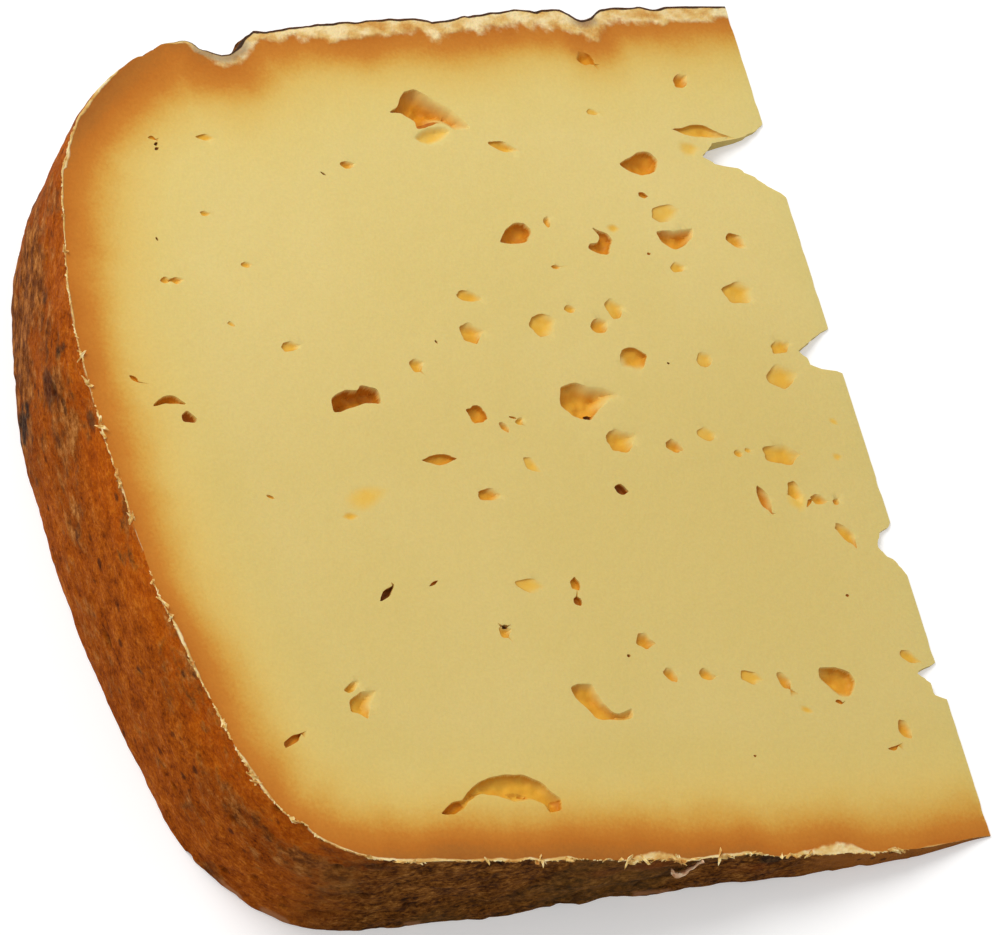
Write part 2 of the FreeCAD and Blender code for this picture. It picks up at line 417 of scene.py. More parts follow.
@dataclass(frozen=True)
class Opening:
    """A small hole in the paste where the cut passes through it.

    Its length runs from heel to tip and its width along the axis before it is turned. Tone goes from 0, pale,
    to 1, dark brown:
    its orange is painted glow of light through the paste and its browns painted shade in deeper openings. Bow
    bends both ends towards the foot.
    """

    across: float
    along: float
    length: float
    width: float
    depth: float
    turn: float = 0.0
    tone: float = 0.35
    crispness: Crispness = Crispness.TORN
    crisp_way: float = 225.0
    points: int = 1
    bow: float = 0.0
    jag: float = 0.10

    def outline(self) -> tuple[np.ndarray, np.ndarray]:
        """The rim in its own round terms.

        Returns:
            Angles from -pi to pi, rising, and the rim's distance from the middle at each.
        """
        rim = self.torn_rim()
        angle = np.arctan2(rim[:, 1], rim[:, 0])
        distance = np.hypot(rim[:, 0], rim[:, 1])
        chance = random.Random(round(self.across * 10) * 1000 + round(self.along * 10))
        jag = self.jag * min(1.0, self.width / 1.1)
        for waves in (5, 8, 13):
            phase = chance.uniform(0, 2 * math.pi)
            tall = jag * chance.uniform(0.3, 0.8)
            distance = distance * (1 + tall * np.cos(waves * angle + phase) / waves**0.6)
        order = np.argsort(angle)
        return angle[order], distance[order]

    def torn_rim(self) -> np.ndarray:
        """An uneven rim with a few blunt corners, narrowed towards its pointed ends.

        Returns:
            The rim's points as shares of half its length and half its width.
        """
        chance = random.Random(round(self.across * 10) + round(self.along * 10) * 1000)
        count = chance.choice((5, 6, 7))
        turns = [(step + chance.uniform(-0.3, 0.3)) * 2 * math.pi / count for step in range(count)]
        reach = [1.14 + 1.2 * self.jag * chance.uniform(-1, 1) for _ in range(count)]
        corners = np.array([(r * math.cos(t), r * math.sin(t)) for r, t in zip(reach, turns)])
        corners = np.vstack([corners, corners[:1]])
        steps = np.linspace(0, count, 72, endpoint=False)
        rim = np.column_stack([np.interp(steps, range(count + 1), corners[:, axis]) for axis in (0, 1)])
        ends = np.abs(rim[:, 0]) if self.points == 2 else rim[:, 0]
        rim[:, 1] *= 1 - 0.55 * smooth(0.1, 1.1, ends) * (self.points > 0)
        for _ in range(4):
            rim = (np.roll(rim, 1, axis=0) + rim + np.roll(rim, -1, axis=0)) / 3
        return rim

    def ring(self, share: float, spacing: float) -> np.ndarray:
        """A closed ring of points at one share of the way from the middle to the rim.

        Args:
            share: 0 at the middle and 1 at the rim.
            spacing: the distance between the rim's points.

        Returns:
            The points as rows of across and along.
        """
        angle, distance = self.outline()
        around = math.pi * (self.length + self.width) / 2
        count = int(np.clip(around * (0.35 + 0.65 * share) / spacing, 9, 60))
        steps = -math.pi + 2 * math.pi * (np.arange(count) + 0.5) / count
        reach = np.interp(steps, angle, distance, period=2 * math.pi) * share
        return self.to_face(reach * np.cos(steps), reach * np.sin(steps))

    def rings(self) -> list[np.ndarray]:
        """Rings that carry the opening's shape.

        Returns:
            The rings from the rim inwards, fewer in a smaller opening.
        """
        size = self.length * 0.4 + self.width * 0.6
        shares = [1.0, 0.97, 0.92, 0.84, 0.7, 0.5, 0.27]
        if size < 1.6:
            shares = [1.0, 0.95, 0.84, 0.6, 0.3]
        if size < 0.7:
            shares = [1.0, 0.85, 0.5]
        return [self.ring(share, 0.16 + 0.045 * size) for share in shares]

    def loose(self) -> np.ndarray:
        """Points inside that lie on no ring: only the middle one."""
        return np.array([[self.across, self.along]])

    def to_face(self, ahead: np.ndarray, aside: np.ndarray) -> np.ndarray:
        """Turns the opening's own terms into places on the cut face.

        Args:
            ahead: distances along the opening, as shares of half its length.
            aside: distances across it, as shares of half its width.

        Returns:
            The places as rows of across and along.
        """
        u = ahead * self.length / 2
        v = aside * self.width / 2 - self.bow * ahead**2
        cosine = math.cos(math.radians(self.turn))
        sine = math.sin(math.radians(self.turn))
        right = u * cosine - v * sine
        up = u * sine + v * cosine
        return np.column_stack([self.across - right, self.along + up])

    def to_own(self, face: np.ndarray) -> tuple[np.ndarray, np.ndarray]:
        """Turns places on the cut face into the opening's own terms.

        Args:
            face: places as rows of across and along.

        Returns:
            Distances along and across the opening, as shares of half its length and half its width.
        """
        right = self.across - face[:, 0]
        up = face[:, 1] - self.along
        cosine = math.cos(math.radians(self.turn))
        sine = math.sin(math.radians(self.turn))
        u = right * cosine + up * sine
        v = up * cosine - right * sine
        ahead = u / (self.length / 2)
        return ahead, (v + self.bow * ahead**2) / (self.width / 2)

    def shape(self, face: np.ndarray) -> tuple[np.ndarray, np.ndarray, np.ndarray]:
        """The opening's depth and colouring at places on the cut face.

        Args:
            face: places as rows of across and along.

        Returns:
            Depth in millimetres, cover from 0 to 1, and how near a place is to a crisp rim, where the paste
            is darkened with painted shade.
        """
        ahead, aside = self.to_own(face)
        angle, distance = self.outline()
        own_angle = np.arctan2(aside, ahead)
        share = np.hypot(ahead, aside) / np.interp(own_angle, angle, distance, period=2 * math.pi)
        inward = np.clip(1 - share, 0.0, 1.0)
        facing = np.arctan2(aside * self.width, ahead * self.length)
        crisp = self.crispness.share(facing + math.radians(self.turn - self.crisp_way))
        wall = 1 - (1 - np.clip(inward / 0.16, 0.0, 1.0)) ** 2
        slope = smooth(0.0, 0.95, inward)
        floor = 0.82 + 0.18 * smooth(0.1, 1.0, inward)
        weight = 0.22 + 0.33 * smooth(0.1, 0.4, self.tone)
        depth = weight * self.depth * (crisp * wall * floor + (1 - crisp) * slope)
        cover = crisp * smooth(0.0, 0.03, inward) + (1 - crisp) * smooth(0.0, 0.75, inward)
        # Painted shade: a dark band just inside a crisp rim, where the undercut wall would lie in shade.
        rim = crisp * np.exp(-inward / 0.13) * (inward > 0.01)
        return depth, cover, rim


@dataclass(frozen=True)
class Tear:
    """A larger opening with an outline of its own.

    Its corners are places on the cut face, rounded off a little. Breadth is how far in from the rim its floor
    slopes where it fades out.
    """

    corners: tuple[Point, ...]
    depth: float
    tone: float
    crispness: Crispness = Crispness.CUT
    crisp_way: float = 225.0
    breadth: float = 1.4

    def rim(self) -> np.ndarray:
        """The outline with its corners cut off twice and its sides a little uneven.

        Returns:
            The rim's points as rows of across and along.
        """
        line = np.array(self.corners)
        for cut in (0.14, 0.24):
            after = np.roll(line, -1, axis=0)
            early = (1 - cut) * line + cut * after
            late = cut * line + (1 - cut) * after
            line = np.stack([early, late], axis=1).reshape(-1, 2)
        closed = np.vstack([line, line[:1]])
        way = np.concatenate([[0.0], np.cumsum(np.hypot(*np.diff(closed, axis=0).T))])
        steps = np.linspace(0, way[-1], max(16, round(way[-1] / 0.2)), endpoint=False)
        rim = np.column_stack([np.interp(steps, way, closed[:, axis]) for axis in (0, 1)])
        flat = np.column_stack([rim, np.zeros(len(rim))])
        return rim + 0.07 * np.column_stack([lumps(flat, 0.7, 31), lumps(flat, 0.7, 32)])

    def inward(self, face: np.ndarray) -> np.ndarray:
        """How far places lie inside the rim.

        Args:
            face: places as rows of across and along.

        Returns:
            The distance from the rim in millimetres, and 0 outside it.
        """
        rim = self.rim()
        low = rim.min(axis=0)
        high = rim.max(axis=0)
        near = ((face > low) & (face < high)).all(axis=1)
        depth = np.zeros(len(face))
        some = face[near]
        side = np.roll(rim, -1, axis=0) - rim
        from_start = some[:, None, :] - rim[None, :, :]
        share = np.clip((from_start * side).sum(axis=2) / (side**2).sum(axis=1), 0.0, 1.0)
        gaps = np.linalg.norm(from_start - share[:, :, None] * side, axis=2).min(axis=1)
        depth[near] = np.where(inside(some, rim), gaps, 0.0)
        return depth

    def rings(self) -> list[np.ndarray]:
        """The rim as the only ring."""
        return [self.rim()]

    def loose(self) -> np.ndarray:
        """Points that fill the inside.

        Returns:
            The points as rows of across and along, close together by the rim.
        """
        rim = self.rim()
        low = rim.min(axis=0)
        high = rim.max(axis=0)
        fine = jittered(low, high, 0.11, 3)
        coarse = jittered(low, high, 0.3, 4)
        fine = fine[np.abs(self.inward(fine) - 0.13) < 0.06]
        coarse = coarse[self.inward(coarse) > 0.25]
        return np.vstack([fine, coarse])

    def shape(self, face: np.ndarray) -> tuple[np.ndarray, np.ndarray, np.ndarray]:
        """The opening's depth and colouring at places on the cut face.

        Args:
            face: places as rows of across and along.

        Returns:
            Depth in millimetres, cover from 0 to 1, and how near a place is to a crisp rim, where the paste
            is darkened with painted shade.
        """
        inward = self.inward(face)
        middle = np.array(self.corners).mean(axis=0)
        facing = np.arctan2(face[:, 1] - middle[1], middle[0] - face[:, 0])
        crisp = self.crispness.share(facing - math.radians(self.crisp_way))
        wall = 1 - (1 - np.clip(inward / 0.32, 0.0, 1.0)) ** 2
        slope = smooth(0.0, self.breadth, inward)
        depth = self.depth * (crisp * wall * (0.7 + 0.3 * slope) + (1 - crisp) * slope)
        cover = crisp * smooth(0.0, 0.07, inward) + (1 - crisp) * smooth(0.0, 0.85 * self.breadth, inward)
        # Painted shade: a dark band just inside a crisp rim, where the undercut wall would lie in shade.
        lip = crisp * np.exp(-inward / 0.22) * (inward > 0.0)
        return depth, cover, lip


# One letter each, so that an opening fits in a line.
T, C, W = Crispness.TORN, Crispness.CUT, Crispness.WORN

TEARS = [
    Tear(
        ((49.7, 91.7), (48.4, 92.3), (47.7, 93.5), (46.9, 94.4), (45.6, 94.8), (44.3, 94.1), (42.9, 93.2),
         (41.3, 92.0), (40.3, 90.8), (39.6, 89.7), (41.8, 89.4), (43.0, 90.3), (44.2, 90.3), (45.7, 89.7),
         (46.6, 89.6), (46.6, 90.6), (47.4, 91.1), (48.0, 91.6)),
        1.5, 0.56, T, 205.0, 1.7,
    ),
    Tear(((46.6, 90.7), (46.5, 89.7), (45.6, 89.7), (44.0, 90.3), (43.0, 90.5), (44.4, 90.9)), 0.6, 0.72, C),
    Tear(
        ((47.5, 88.5), (46.3, 89.5), (44.9, 90.0), (42.9, 90.0), (42.2, 89.3), (43.6, 88.2), (45.4, 87.4),
         (46.7, 87.7)),
        0.45, 0.14, W, 225.0, 0.8,
    ),
    Tear(
        ((22.0, 85.2), (20.2, 86.0), (18.7, 86.8), (17.2, 86.7), (16.5, 85.6), (17.3, 84.1), (19.2, 83.6),
         (20.8, 84.2)),
        1.2, 0.52, C,
    ),
    Tear(
        ((40.5, 75.2), (39.2, 76.8), (37.9, 77.7), (36.5, 77.7), (35.8, 76.6), (36.8, 75.2), (38.6, 75.0)),
        1.2, 0.58, C,
    ),
    Tear(
        ((28.5, 77.7), (27.6, 76.8), (26.1, 76.2), (25.7, 75.3), (26.3, 74.6), (26.8, 73.5), (27.9, 73.6),
         (29.3, 74.3), (28.9, 75.0), (27.8, 75.1), (27.3, 75.9)),
        0.9, 0.58, C,
    ),
    Tear(
        ((19.9, 76.5), (17.6, 76.6), (14.6, 76.9), (15.1, 75.6), (16.5, 74.6), (18.0, 74.0), (19.4, 75.0)),
        1.0, 0.5, T, 250.0, 0.8,
    ),
    Tear(
        ((38.2, 57.2), (36.2, 57.7), (34.5, 57.2), (32.6, 57.0), (30.7, 56.0), (32.4, 55.4), (34.0, 54.3),
         (35.6, 52.9), (37.5, 53.4), (38.9, 54.9)),
        1.25, 0.42, T, 215.0, 1.5,
    ),
    Tear(
        ((66.9, 56.5), (64.9, 57.5), (63.4, 57.3), (62.9, 58.0), (60.8, 57.5), (60.8, 55.6), (62.8, 55.8),
         (64.7, 55.2), (67.0, 54.6)),
        1.9, 0.66, C,
    ),
    Tear(
        ((67.8, 7.9), (66.1, 9.1), (64.8, 9.3), (63.6, 10.4), (61.5, 11.5), (59.0, 11.9), (56.6, 11.7),
         (54.8, 10.8), (53.9, 9.6), (52.9, 8.7), (53.2, 7.5), (54.8, 7.1), (55.2, 8.2), (56.5, 8.9),
         (58.6, 8.6), (60.2, 9.4), (62.4, 9.9), (64.1, 9.0), (64.8, 8.2), (66.8, 7.7)),
        0.85, 0.36, T, 100.0, 0.9,
    ),
    Tear(((59.4, 10.0), (57.6, 10.1), (55.4, 9.0), (57.0, 8.9), (58.4, 9.2)), 1.0, 0.62, T, 90.0, 0.5),
    Tear(((67.8, 7.9), (66.1, 9.1), (64.8, 9.2), (64.5, 8.6), (66.0, 7.7)), 0.9, 0.6, C),
    Tear(((54.8, 7.2), (53.2, 7.4), (52.9, 8.7), (54.1, 8.8)), 0.8, 0.55, C),
    Tear(((75.1, 22.4), (73.8, 23.4), (72.7, 23.5), (73.4, 22.5), (74.4, 22.0)), 0.5, 0.3, T, 200.0, 0.5),
    Tear(
        ((74.7, 21.3), (73.0, 22.2), (70.9, 22.4), (71.8, 21.2), (72.4, 20.4), (73.0, 18.9), (73.9, 19.7),
         (74.9, 19.9)),
        0.8, 0.34, T, 195.0, 1.0,
    ),
    Tear(
        ((47.9, 21.4), (47.0, 21.8), (45.1, 21.7), (44.8, 20.3), (44.1, 18.9), (43.6, 18.2), (42.8, 18.0),
         (41.0, 18.7), (41.3, 17.4), (42.8, 17.2), (45.9, 17.5), (46.6, 18.8), (47.8, 20.2)),
        0.8, 0.38, T, 225.0, 0.9,
    ),
    Tear(
        ((16.3, 22.2), (14.2, 22.1), (12.4, 21.5), (12.0, 20.1), (13.2, 18.5), (14.7, 18.5), (15.5, 19.3),
         (16.6, 20.8)),
        1.1, 0.42, T, 40.0, 1.3,
    ),
    Tear(((88.5, 55.9), (86.8, 57.2), (85.4, 57.3), (84.0, 56.1), (85.6, 56.3), (86.7, 56.3)), 1.0, 0.55, C),
    Tear(((85.2, 54.9), (84.3, 55.5), (83.4, 54.4), (83.7, 53.9), (85.2, 54.1)), 1.2, 0.78, C),
]

# Each row holds an opening's sizes and kind in the order of its fields.
BIG_OPENINGS = [
    (9.6, 89.2, 6.6, 1.8, 1.0, -6, 0.34, T, 100, 2),
    (11.9, 87.2, 3.2, 2.4, 0.7, 0, 0.08, W),
    (35.4, 53.7, 0.9, 0.9, 2.6, 0, 1.0, C),
    (25.2, 76.9, 1.9, 1.4, 0.5, 0, 0.15, W),
    (12.2, 42.3, 3.2, 3.2, 0.4, 27, 0.0, W),
    (16.4, 42.7, 3.4, 1.5, 1.5, -80, 0.55, T, 190),
    (12.1, 43.3, 3.0, 2.0, 1.0, -80, 0.35, T, 180),
    (9.3, 42.4, 2.0, 1.3, 0.8, -10, 0.4, T),
    (10.7, 42.1, 1.5, 0.5, 0.5, 45, 0.5, C, 225, 2),
    (7.2, 42.1, 1.1, 0.8, 0.6, 46, 0.4, T),
    (7.1, 37.9, 3.4, 1.6, 0.8, -58, 0.35, T, 215, 1, 0.35),
    (8.0, 61.6, 3.0, 1.8, 0.6, 24, 0.3, T, 250),
    (4.1, 22.8, 2.6, 1.4, 0.5, -30, 0.3, T, 220),
]

SMALL_OPENINGS = [
    (82.7, 71.0, 1.5, 0.8, 0.6, 0, 0.4, T, 180, 2),
    (81.4, 71.0, 1.9, 0.9, 0.7, 4, 0.4, T, 200, 2),
    (73.2, 88.5, 2.4, 0.8, 0.5, -2, 0.3, T, 180, 2),
    (72.5, 72.8, 1.4, 0.7, 0.5, 0, 0.35),
    (75.8, 79.1, 1.4, 0.7, 0.5, 0, 0.3),
    (56.6, 85.1, 1.9, 1.1, 0.8, 4, 0.42),
    (36.1, 87.3, 3.5, 1.2, 0.8, -14, 0.32, T, 200),
    (19.9, 81.1, 1.4, 0.8, 0.8, -10, 0.45, C),
    (33.5, 77.8, 1.6, 0.9, 0.7, 70, 0.4),
    (17.6, 78.9, 4.2, 2.2, 0.6, 14, 0.15, T, 150),
    (18.3, 71.8, 2.2, 1.3, 0.6, 9, 0.25),
    (34.1, 72.1, 1.2, 0.7, 0.6, 0, 0.4),
    (22.1, 98.9, 2.6, 1.9, 1.2, -33, 0.5, T, 300),
    (10.2, 96.1, 2.3, 1.6, 1.0, 33, 0.5),
    (23.2, 91.9, 1.6, 0.9, 0.4, -10, 0.2),
    (46.1, 68.5, 3.0, 1.5, 0.7, -6, 0.28),
    (33.9, 66.8, 1.6, 1.0, 0.6, 0, 0.3),
    (28.2, 66.8, 2.8, 2.3, 0.9, 18, 0.25),
    (37.9, 64.9, 3.9, 2.8, 1.0, 12, 0.25, T, 170),
    (30.7, 64.7, 2.4, 1.9, 1.0, 24, 0.38),
    (47.2, 64.0, 3.1, 2.3, 1.0, 8, 0.38),
    (27.7, 60.4, 3.7, 2.8, 1.2, 10, 0.4, T, 60),
    (55.2, 60.3, 2.1, 1.6, 0.8, 20, 0.36),
    (69.8, 62.8, 2.4, 1.2, 0.8, 10, 0.28),
    (49.5, 54.1, 2.8, 2.1, 1.3, -22, 0.5, C, 225, 1, 0, 0.18),
    (46.6, 52.4, 1.4, 0.9, 0.9, -56, 0.45),
    (44.5, 53.2, 1.2, 0.9, 0.6, 26, 0.3),
    (45.3, 53.6, 1.2, 0.3, 0.5, -14, 0.5, C, 225, 2),
    (32.6, 50.5, 4.0, 2.9, 1.1, 16, 0.36, T, 225, 1, 0, 0.13),
    (25.8, 49.5, 2.1, 1.7, 1.0, -30, 0.42, T, 225, 1, 0, 0.14),
    (55.8, 48.8, 4.3, 1.2, 1.1, 2, 0.42, C, 225, 2, 0, 0.12),
    (44.6, 47.8, 2.3, 1.4, 0.6, -45, 0.2, T, 200),
    (50.8, 44.4, 3.1, 1.6, 1.0, 3, 0.45, T, 200),
    (34.3, 44.5, 1.7, 1.3, 1.6, -22, 0.85, C),
    (68.5, 42.4, 2.4, 1.2, 0.3, 4, 0.25, W),
    (66.0, 44.6, 6.5, 3.0, 0.15, 16, 0.08, W),
    (66.8, 33.2, 2.6, 0.8, 1.4, 40, 0.9, C, 225, 2, 0, 0.16),
    (60.8, 34.2, 1.5, 0.35, 0.7, 28, 0.7, C, 225, 2),
    (49.2, 33.5, 4.0, 2.0, 0.45, -10, 0.18, T, 150, 2),
    (43.6, 33.4, 1.8, 1.2, 1.0, 80, 0.42, C),
    (43.9, 31.4, 1.2, 1.1, 1.2, 90, 0.65, C, 225, 1, 0, 0.05),
    (89.5, 59.3, 1.2, 0.6, 0.6, -42, 0.55, C, 225, 1, 0, 0.06),
    (76.3, 65.6, 1.0, 0.6, 0.4, -25, 0.3),
    (77.3, 45.0, 1.0, 0.4, 0.4, -25, 0.35, C),
    (9.5, 75.1, 2.8, 2.0, 1.0, -34, 0.42, T, 170),
    (11.3, 68.6, 4.3, 3.2, 1.0, 18, 0.25, T, 200),
    (18.5, 60.2, 2.3, 1.7, 0.6, 30, 0.2),
    (9.1, 57.9, 3.9, 3.0, 1.0, 10, 0.2, T, 230),
    (21.2, 50.9, 2.3, 1.7, 0.5, 0, 0.2),
    (17.9, 48.4, 1.2, 0.9, 0.5, 0, 0.3),
    (16.6, 48.8, 0.9, 0.7, 0.4, 0, 0.25),
    (12.3, 48.1, 4.8, 2.8, 0.9, 2, 0.28, T, 240),
    (5.3, 47.6, 1.8, 1.2, 0.3, 0, 0.15, W),
    (4.2, 52.0, 1.6, 1.0, 0.25, -40, 0.15, W),
    (37.0, 26.4, 2.4, 1.9, 1.0, -16, 0.4, T, 225, 1, 0, 0.13),
    (35.1, 22.2, 1.9, 1.5, 0.9, -60, 0.38),
    (30.6, 22.0, 2.0, 1.4, 0.8, -14, 0.34),
    (24.9, 21.4, 3.2, 1.7, 0.6, -20, 0.2, T, 170),
    (21.1, 20.7, 2.3, 1.7, 1.0, -60, 0.42),
    (14.9, 17.9, 1.0, 0.6, 0.6, -12, 0.5, C),
    (19.4, 17.2, 2.0, 1.0, 0.3, -18, 0.2, W),
    (7.6, 14.2, 2.4, 1.7, 0.9, -70, 0.4, T, 200),
    (9.8, 12.1, 1.6, 0.5, 0.5, 14, 0.45, C, 225, 1, -0.15),
    (53.9, 28.2, 1.9, 1.4, 0.8, 12, 0.35, T, 240),
    (53.7, 28.8, 0.8, 0.5, 1.4, 10, 0.95, C),
    (82.5, 17.1, 3.3, 0.9, 1.1, 28, 0.6, C, 225, 1, 0, 0.14),
    (79.4, 87.7, 0.6, 0.4, 0.6, 40, 1.0, C),
    (79.5, 87.1, 0.6, 0.4, 0.5, 20, 1.0, C),
    (79.7, 88.4, 1.0, 0.5, 0.4, -20, 0.4, C),
    (60.0, 84.0, 0.8, 0.3, 0.5, -40, 0.9, C, 225, 2),
    (82.4, 76.0, 0.5, 0.3, 0.5, -70, 0.9, C),
    (52.0, 63.0, 0.6, 0.3, 0.5, -60, 0.8, C),
    (21.6, 73.6, 0.5, 0.4, 0.5, 0, 0.6, C),
    (23.4, 59.8, 0.4, 0.3, 0.5, 0, 0.9, C),
    (9.6, 30.6, 0.5, 0.4, 0.4, 0, 0.8, C),
    (39.6, 24.7, 0.5, 0.4, 0.5, 0, 0.9, C),
    (27.7, 12.2, 0.4, 0.3, 0.4, 0, 0.8, C),
]


@dataclass
class LowerOpenings:
    """Openings scattered over the lower cut face, where the wedge is thick enough for them."""

    count: int = 46
    gap: float = 5.0
    seed: int = 11

    def scatter(self, wheel: Wheel) -> list[Opening]:
        """Places the openings with no two nearer than the gap.

        Args:
            wheel: the wheel that the wedge is cut from.

        Returns:
            The openings.
        """
        chance = random.Random(self.seed)
        placed: list[Opening] = []
        while len(placed) < self.count:
            across = chance.uniform(0.08, 0.88) * wheel.radius
            along = chance.uniform(0.12, 0.88) * wheel.height
            if any(math.dist((across, along), (other.across, other.along)) < self.gap for other in placed):
                continue
            length = chance.choice([1.2, 1.8, 2.4, 3.0, 3.8, 5.0])
            kind = chance.choice([T, T, T, C])
            tone = chance.uniform(0.2, 0.6)
            width = length * chance.uniform(0.4, 0.8)
            turn = chance.uniform(-30, 40)
            placed.append(Opening(across, along, length, width, 0.3 * length, turn, tone, kind))
        return placed


@dataclass
class Surface:
    """Triangles with values at their corners, before they become a mesh."""

    places: np.ndarray
    triangles: np.ndarray
    slots: np.ndarray
    values: dict[str, np.ndarray]


def share_values(side: Surface, face: Surface, side_names: list[str], reach: float = 0.003) -> None:
    """Gives the points that the side shares with a cut face the values of both.

    Args:
        side: the side, whose own values are named apart.
        face: the cut face.
        side_names: the side's own values.
        reach: how far apart shared points may lie, in millimetres.
    """
    face_names = list(face.values)
    on_edge = np.flatnonzero((side.values["edge"] < reach) | (side.values["under"] < reach))
    tree = KDTree(len(on_edge))
    for number in on_edge:
        tree.insert(side.places[number], int(number))
    tree.balance()
    found = [tree.find(place)[1:] for place in face.places]
    own = [number for number, (_, distance) in enumerate(found) if distance < reach]
    other = [found[number][0] for number in own]
    for name in side_names:
        face.values.setdefault(name, np.zeros(len(face.places)))
        if name not in face_names:
            face.values[name][own] = side.values[name][other]
    for name in face_names:
        side.values.setdefault(name, np.zeros(len(side.places)))
        if name not in side_names:
            side.values[name][other] = face.values[name][own]


def triangulate(
    points: np.ndarray, edges: list[tuple[int, int]], outline: np.ndarray
) -> tuple[np.ndarray, np.ndarray]:
    """Fills an outline with triangles that keep every edge.

    Args:
        points: flat points, one to a row.
        edges: pairs of point numbers, the outline's own among them.
        outline: the outline's points in order.

    Returns:
        The points, with any that crossing edges add, and the triangles.
    """
    closest = 1e-5
    result = delaunay_2d_cdt([Vector(point) for point in points], edges, [], 0, closest, False)
    flat = np.array([tuple(point) for point in result[0]])
    triangles = np.array(result[2])
    return flat, triangles[inside(flat[triangles].mean(axis=1), outline)]


def loop_edges(first: int, count: int) -> list[tuple[int, int]]:
    """Edges that join points, numbered on from the first, in a closed loop."""
    return [(first + step, first + (step + 1) % count) for step in range(count)]


def inside(points: np.ndarray, outline: np.ndarray) -> np.ndarray:
    """Tells which points lie inside a closed outline.

    Args:
        points: flat points, one to a row.
        outline: the outline's points in order.

    Returns:
        True for each point inside.
    """
    crossings = np.zeros(len(points), dtype=int)
    for start, end in zip(outline, np.roll(outline, -1, axis=0)):
        spans = (start[1] > points[:, 1]) != (end[1] > points[:, 1])
        rise = end[1] - start[1] if end[1] != start[1] else 1.0
        where = start[0] + (points[:, 1] - start[1]) / rise * (end[0] - start[0])
        crossings += spans & (points[:, 0] < where)
    return crossings % 2 == 1


def nearest(points: np.ndarray, targets: np.ndarray) -> tuple[np.ndarray, np.ndarray]:
    """Finds each point's nearest target.

    Args:
        points: flat points, one to a row.
        targets: flat points, one to a row.

    Returns:
        The distance to the nearest target and its number, for each point.
    """
    tree = KDTree(len(targets))
    for number, target in enumerate(targets):
        tree.insert((target[0], target[1], 0.0), number)
    tree.balance()
    found = [tree.find((point[0], point[1], 0.0)) for point in points]
    return np.array([hit[2] for hit in found]), np.array([hit[1] for hit in found])


def jittered(low: Point, high: Point, spacing: float, seed: int) -> np.ndarray:
    """Unevenly placed points that fill a box.

    Args:
        low: the box's lowest corner.
        high: its highest corner.
        spacing: the distance between points.
        seed: picks one of many placings.

    Returns:
        The points, one to a row.
    """
    row_gap = 0.87
    shake = 0.22
    chance = np.random.default_rng(seed)
    columns = np.arange(low[0], high[0], spacing)
    rows = np.arange(low[1], high[1], spacing * row_gap)
    across, along = np.meshgrid(columns, rows)
    across = across + (np.arange(len(rows)) % 2)[:, None] * spacing / 2
    points = np.column_stack([across.ravel(), along.ravel()])
    return points + chance.uniform(-shake, shake, points.shape) * spacing


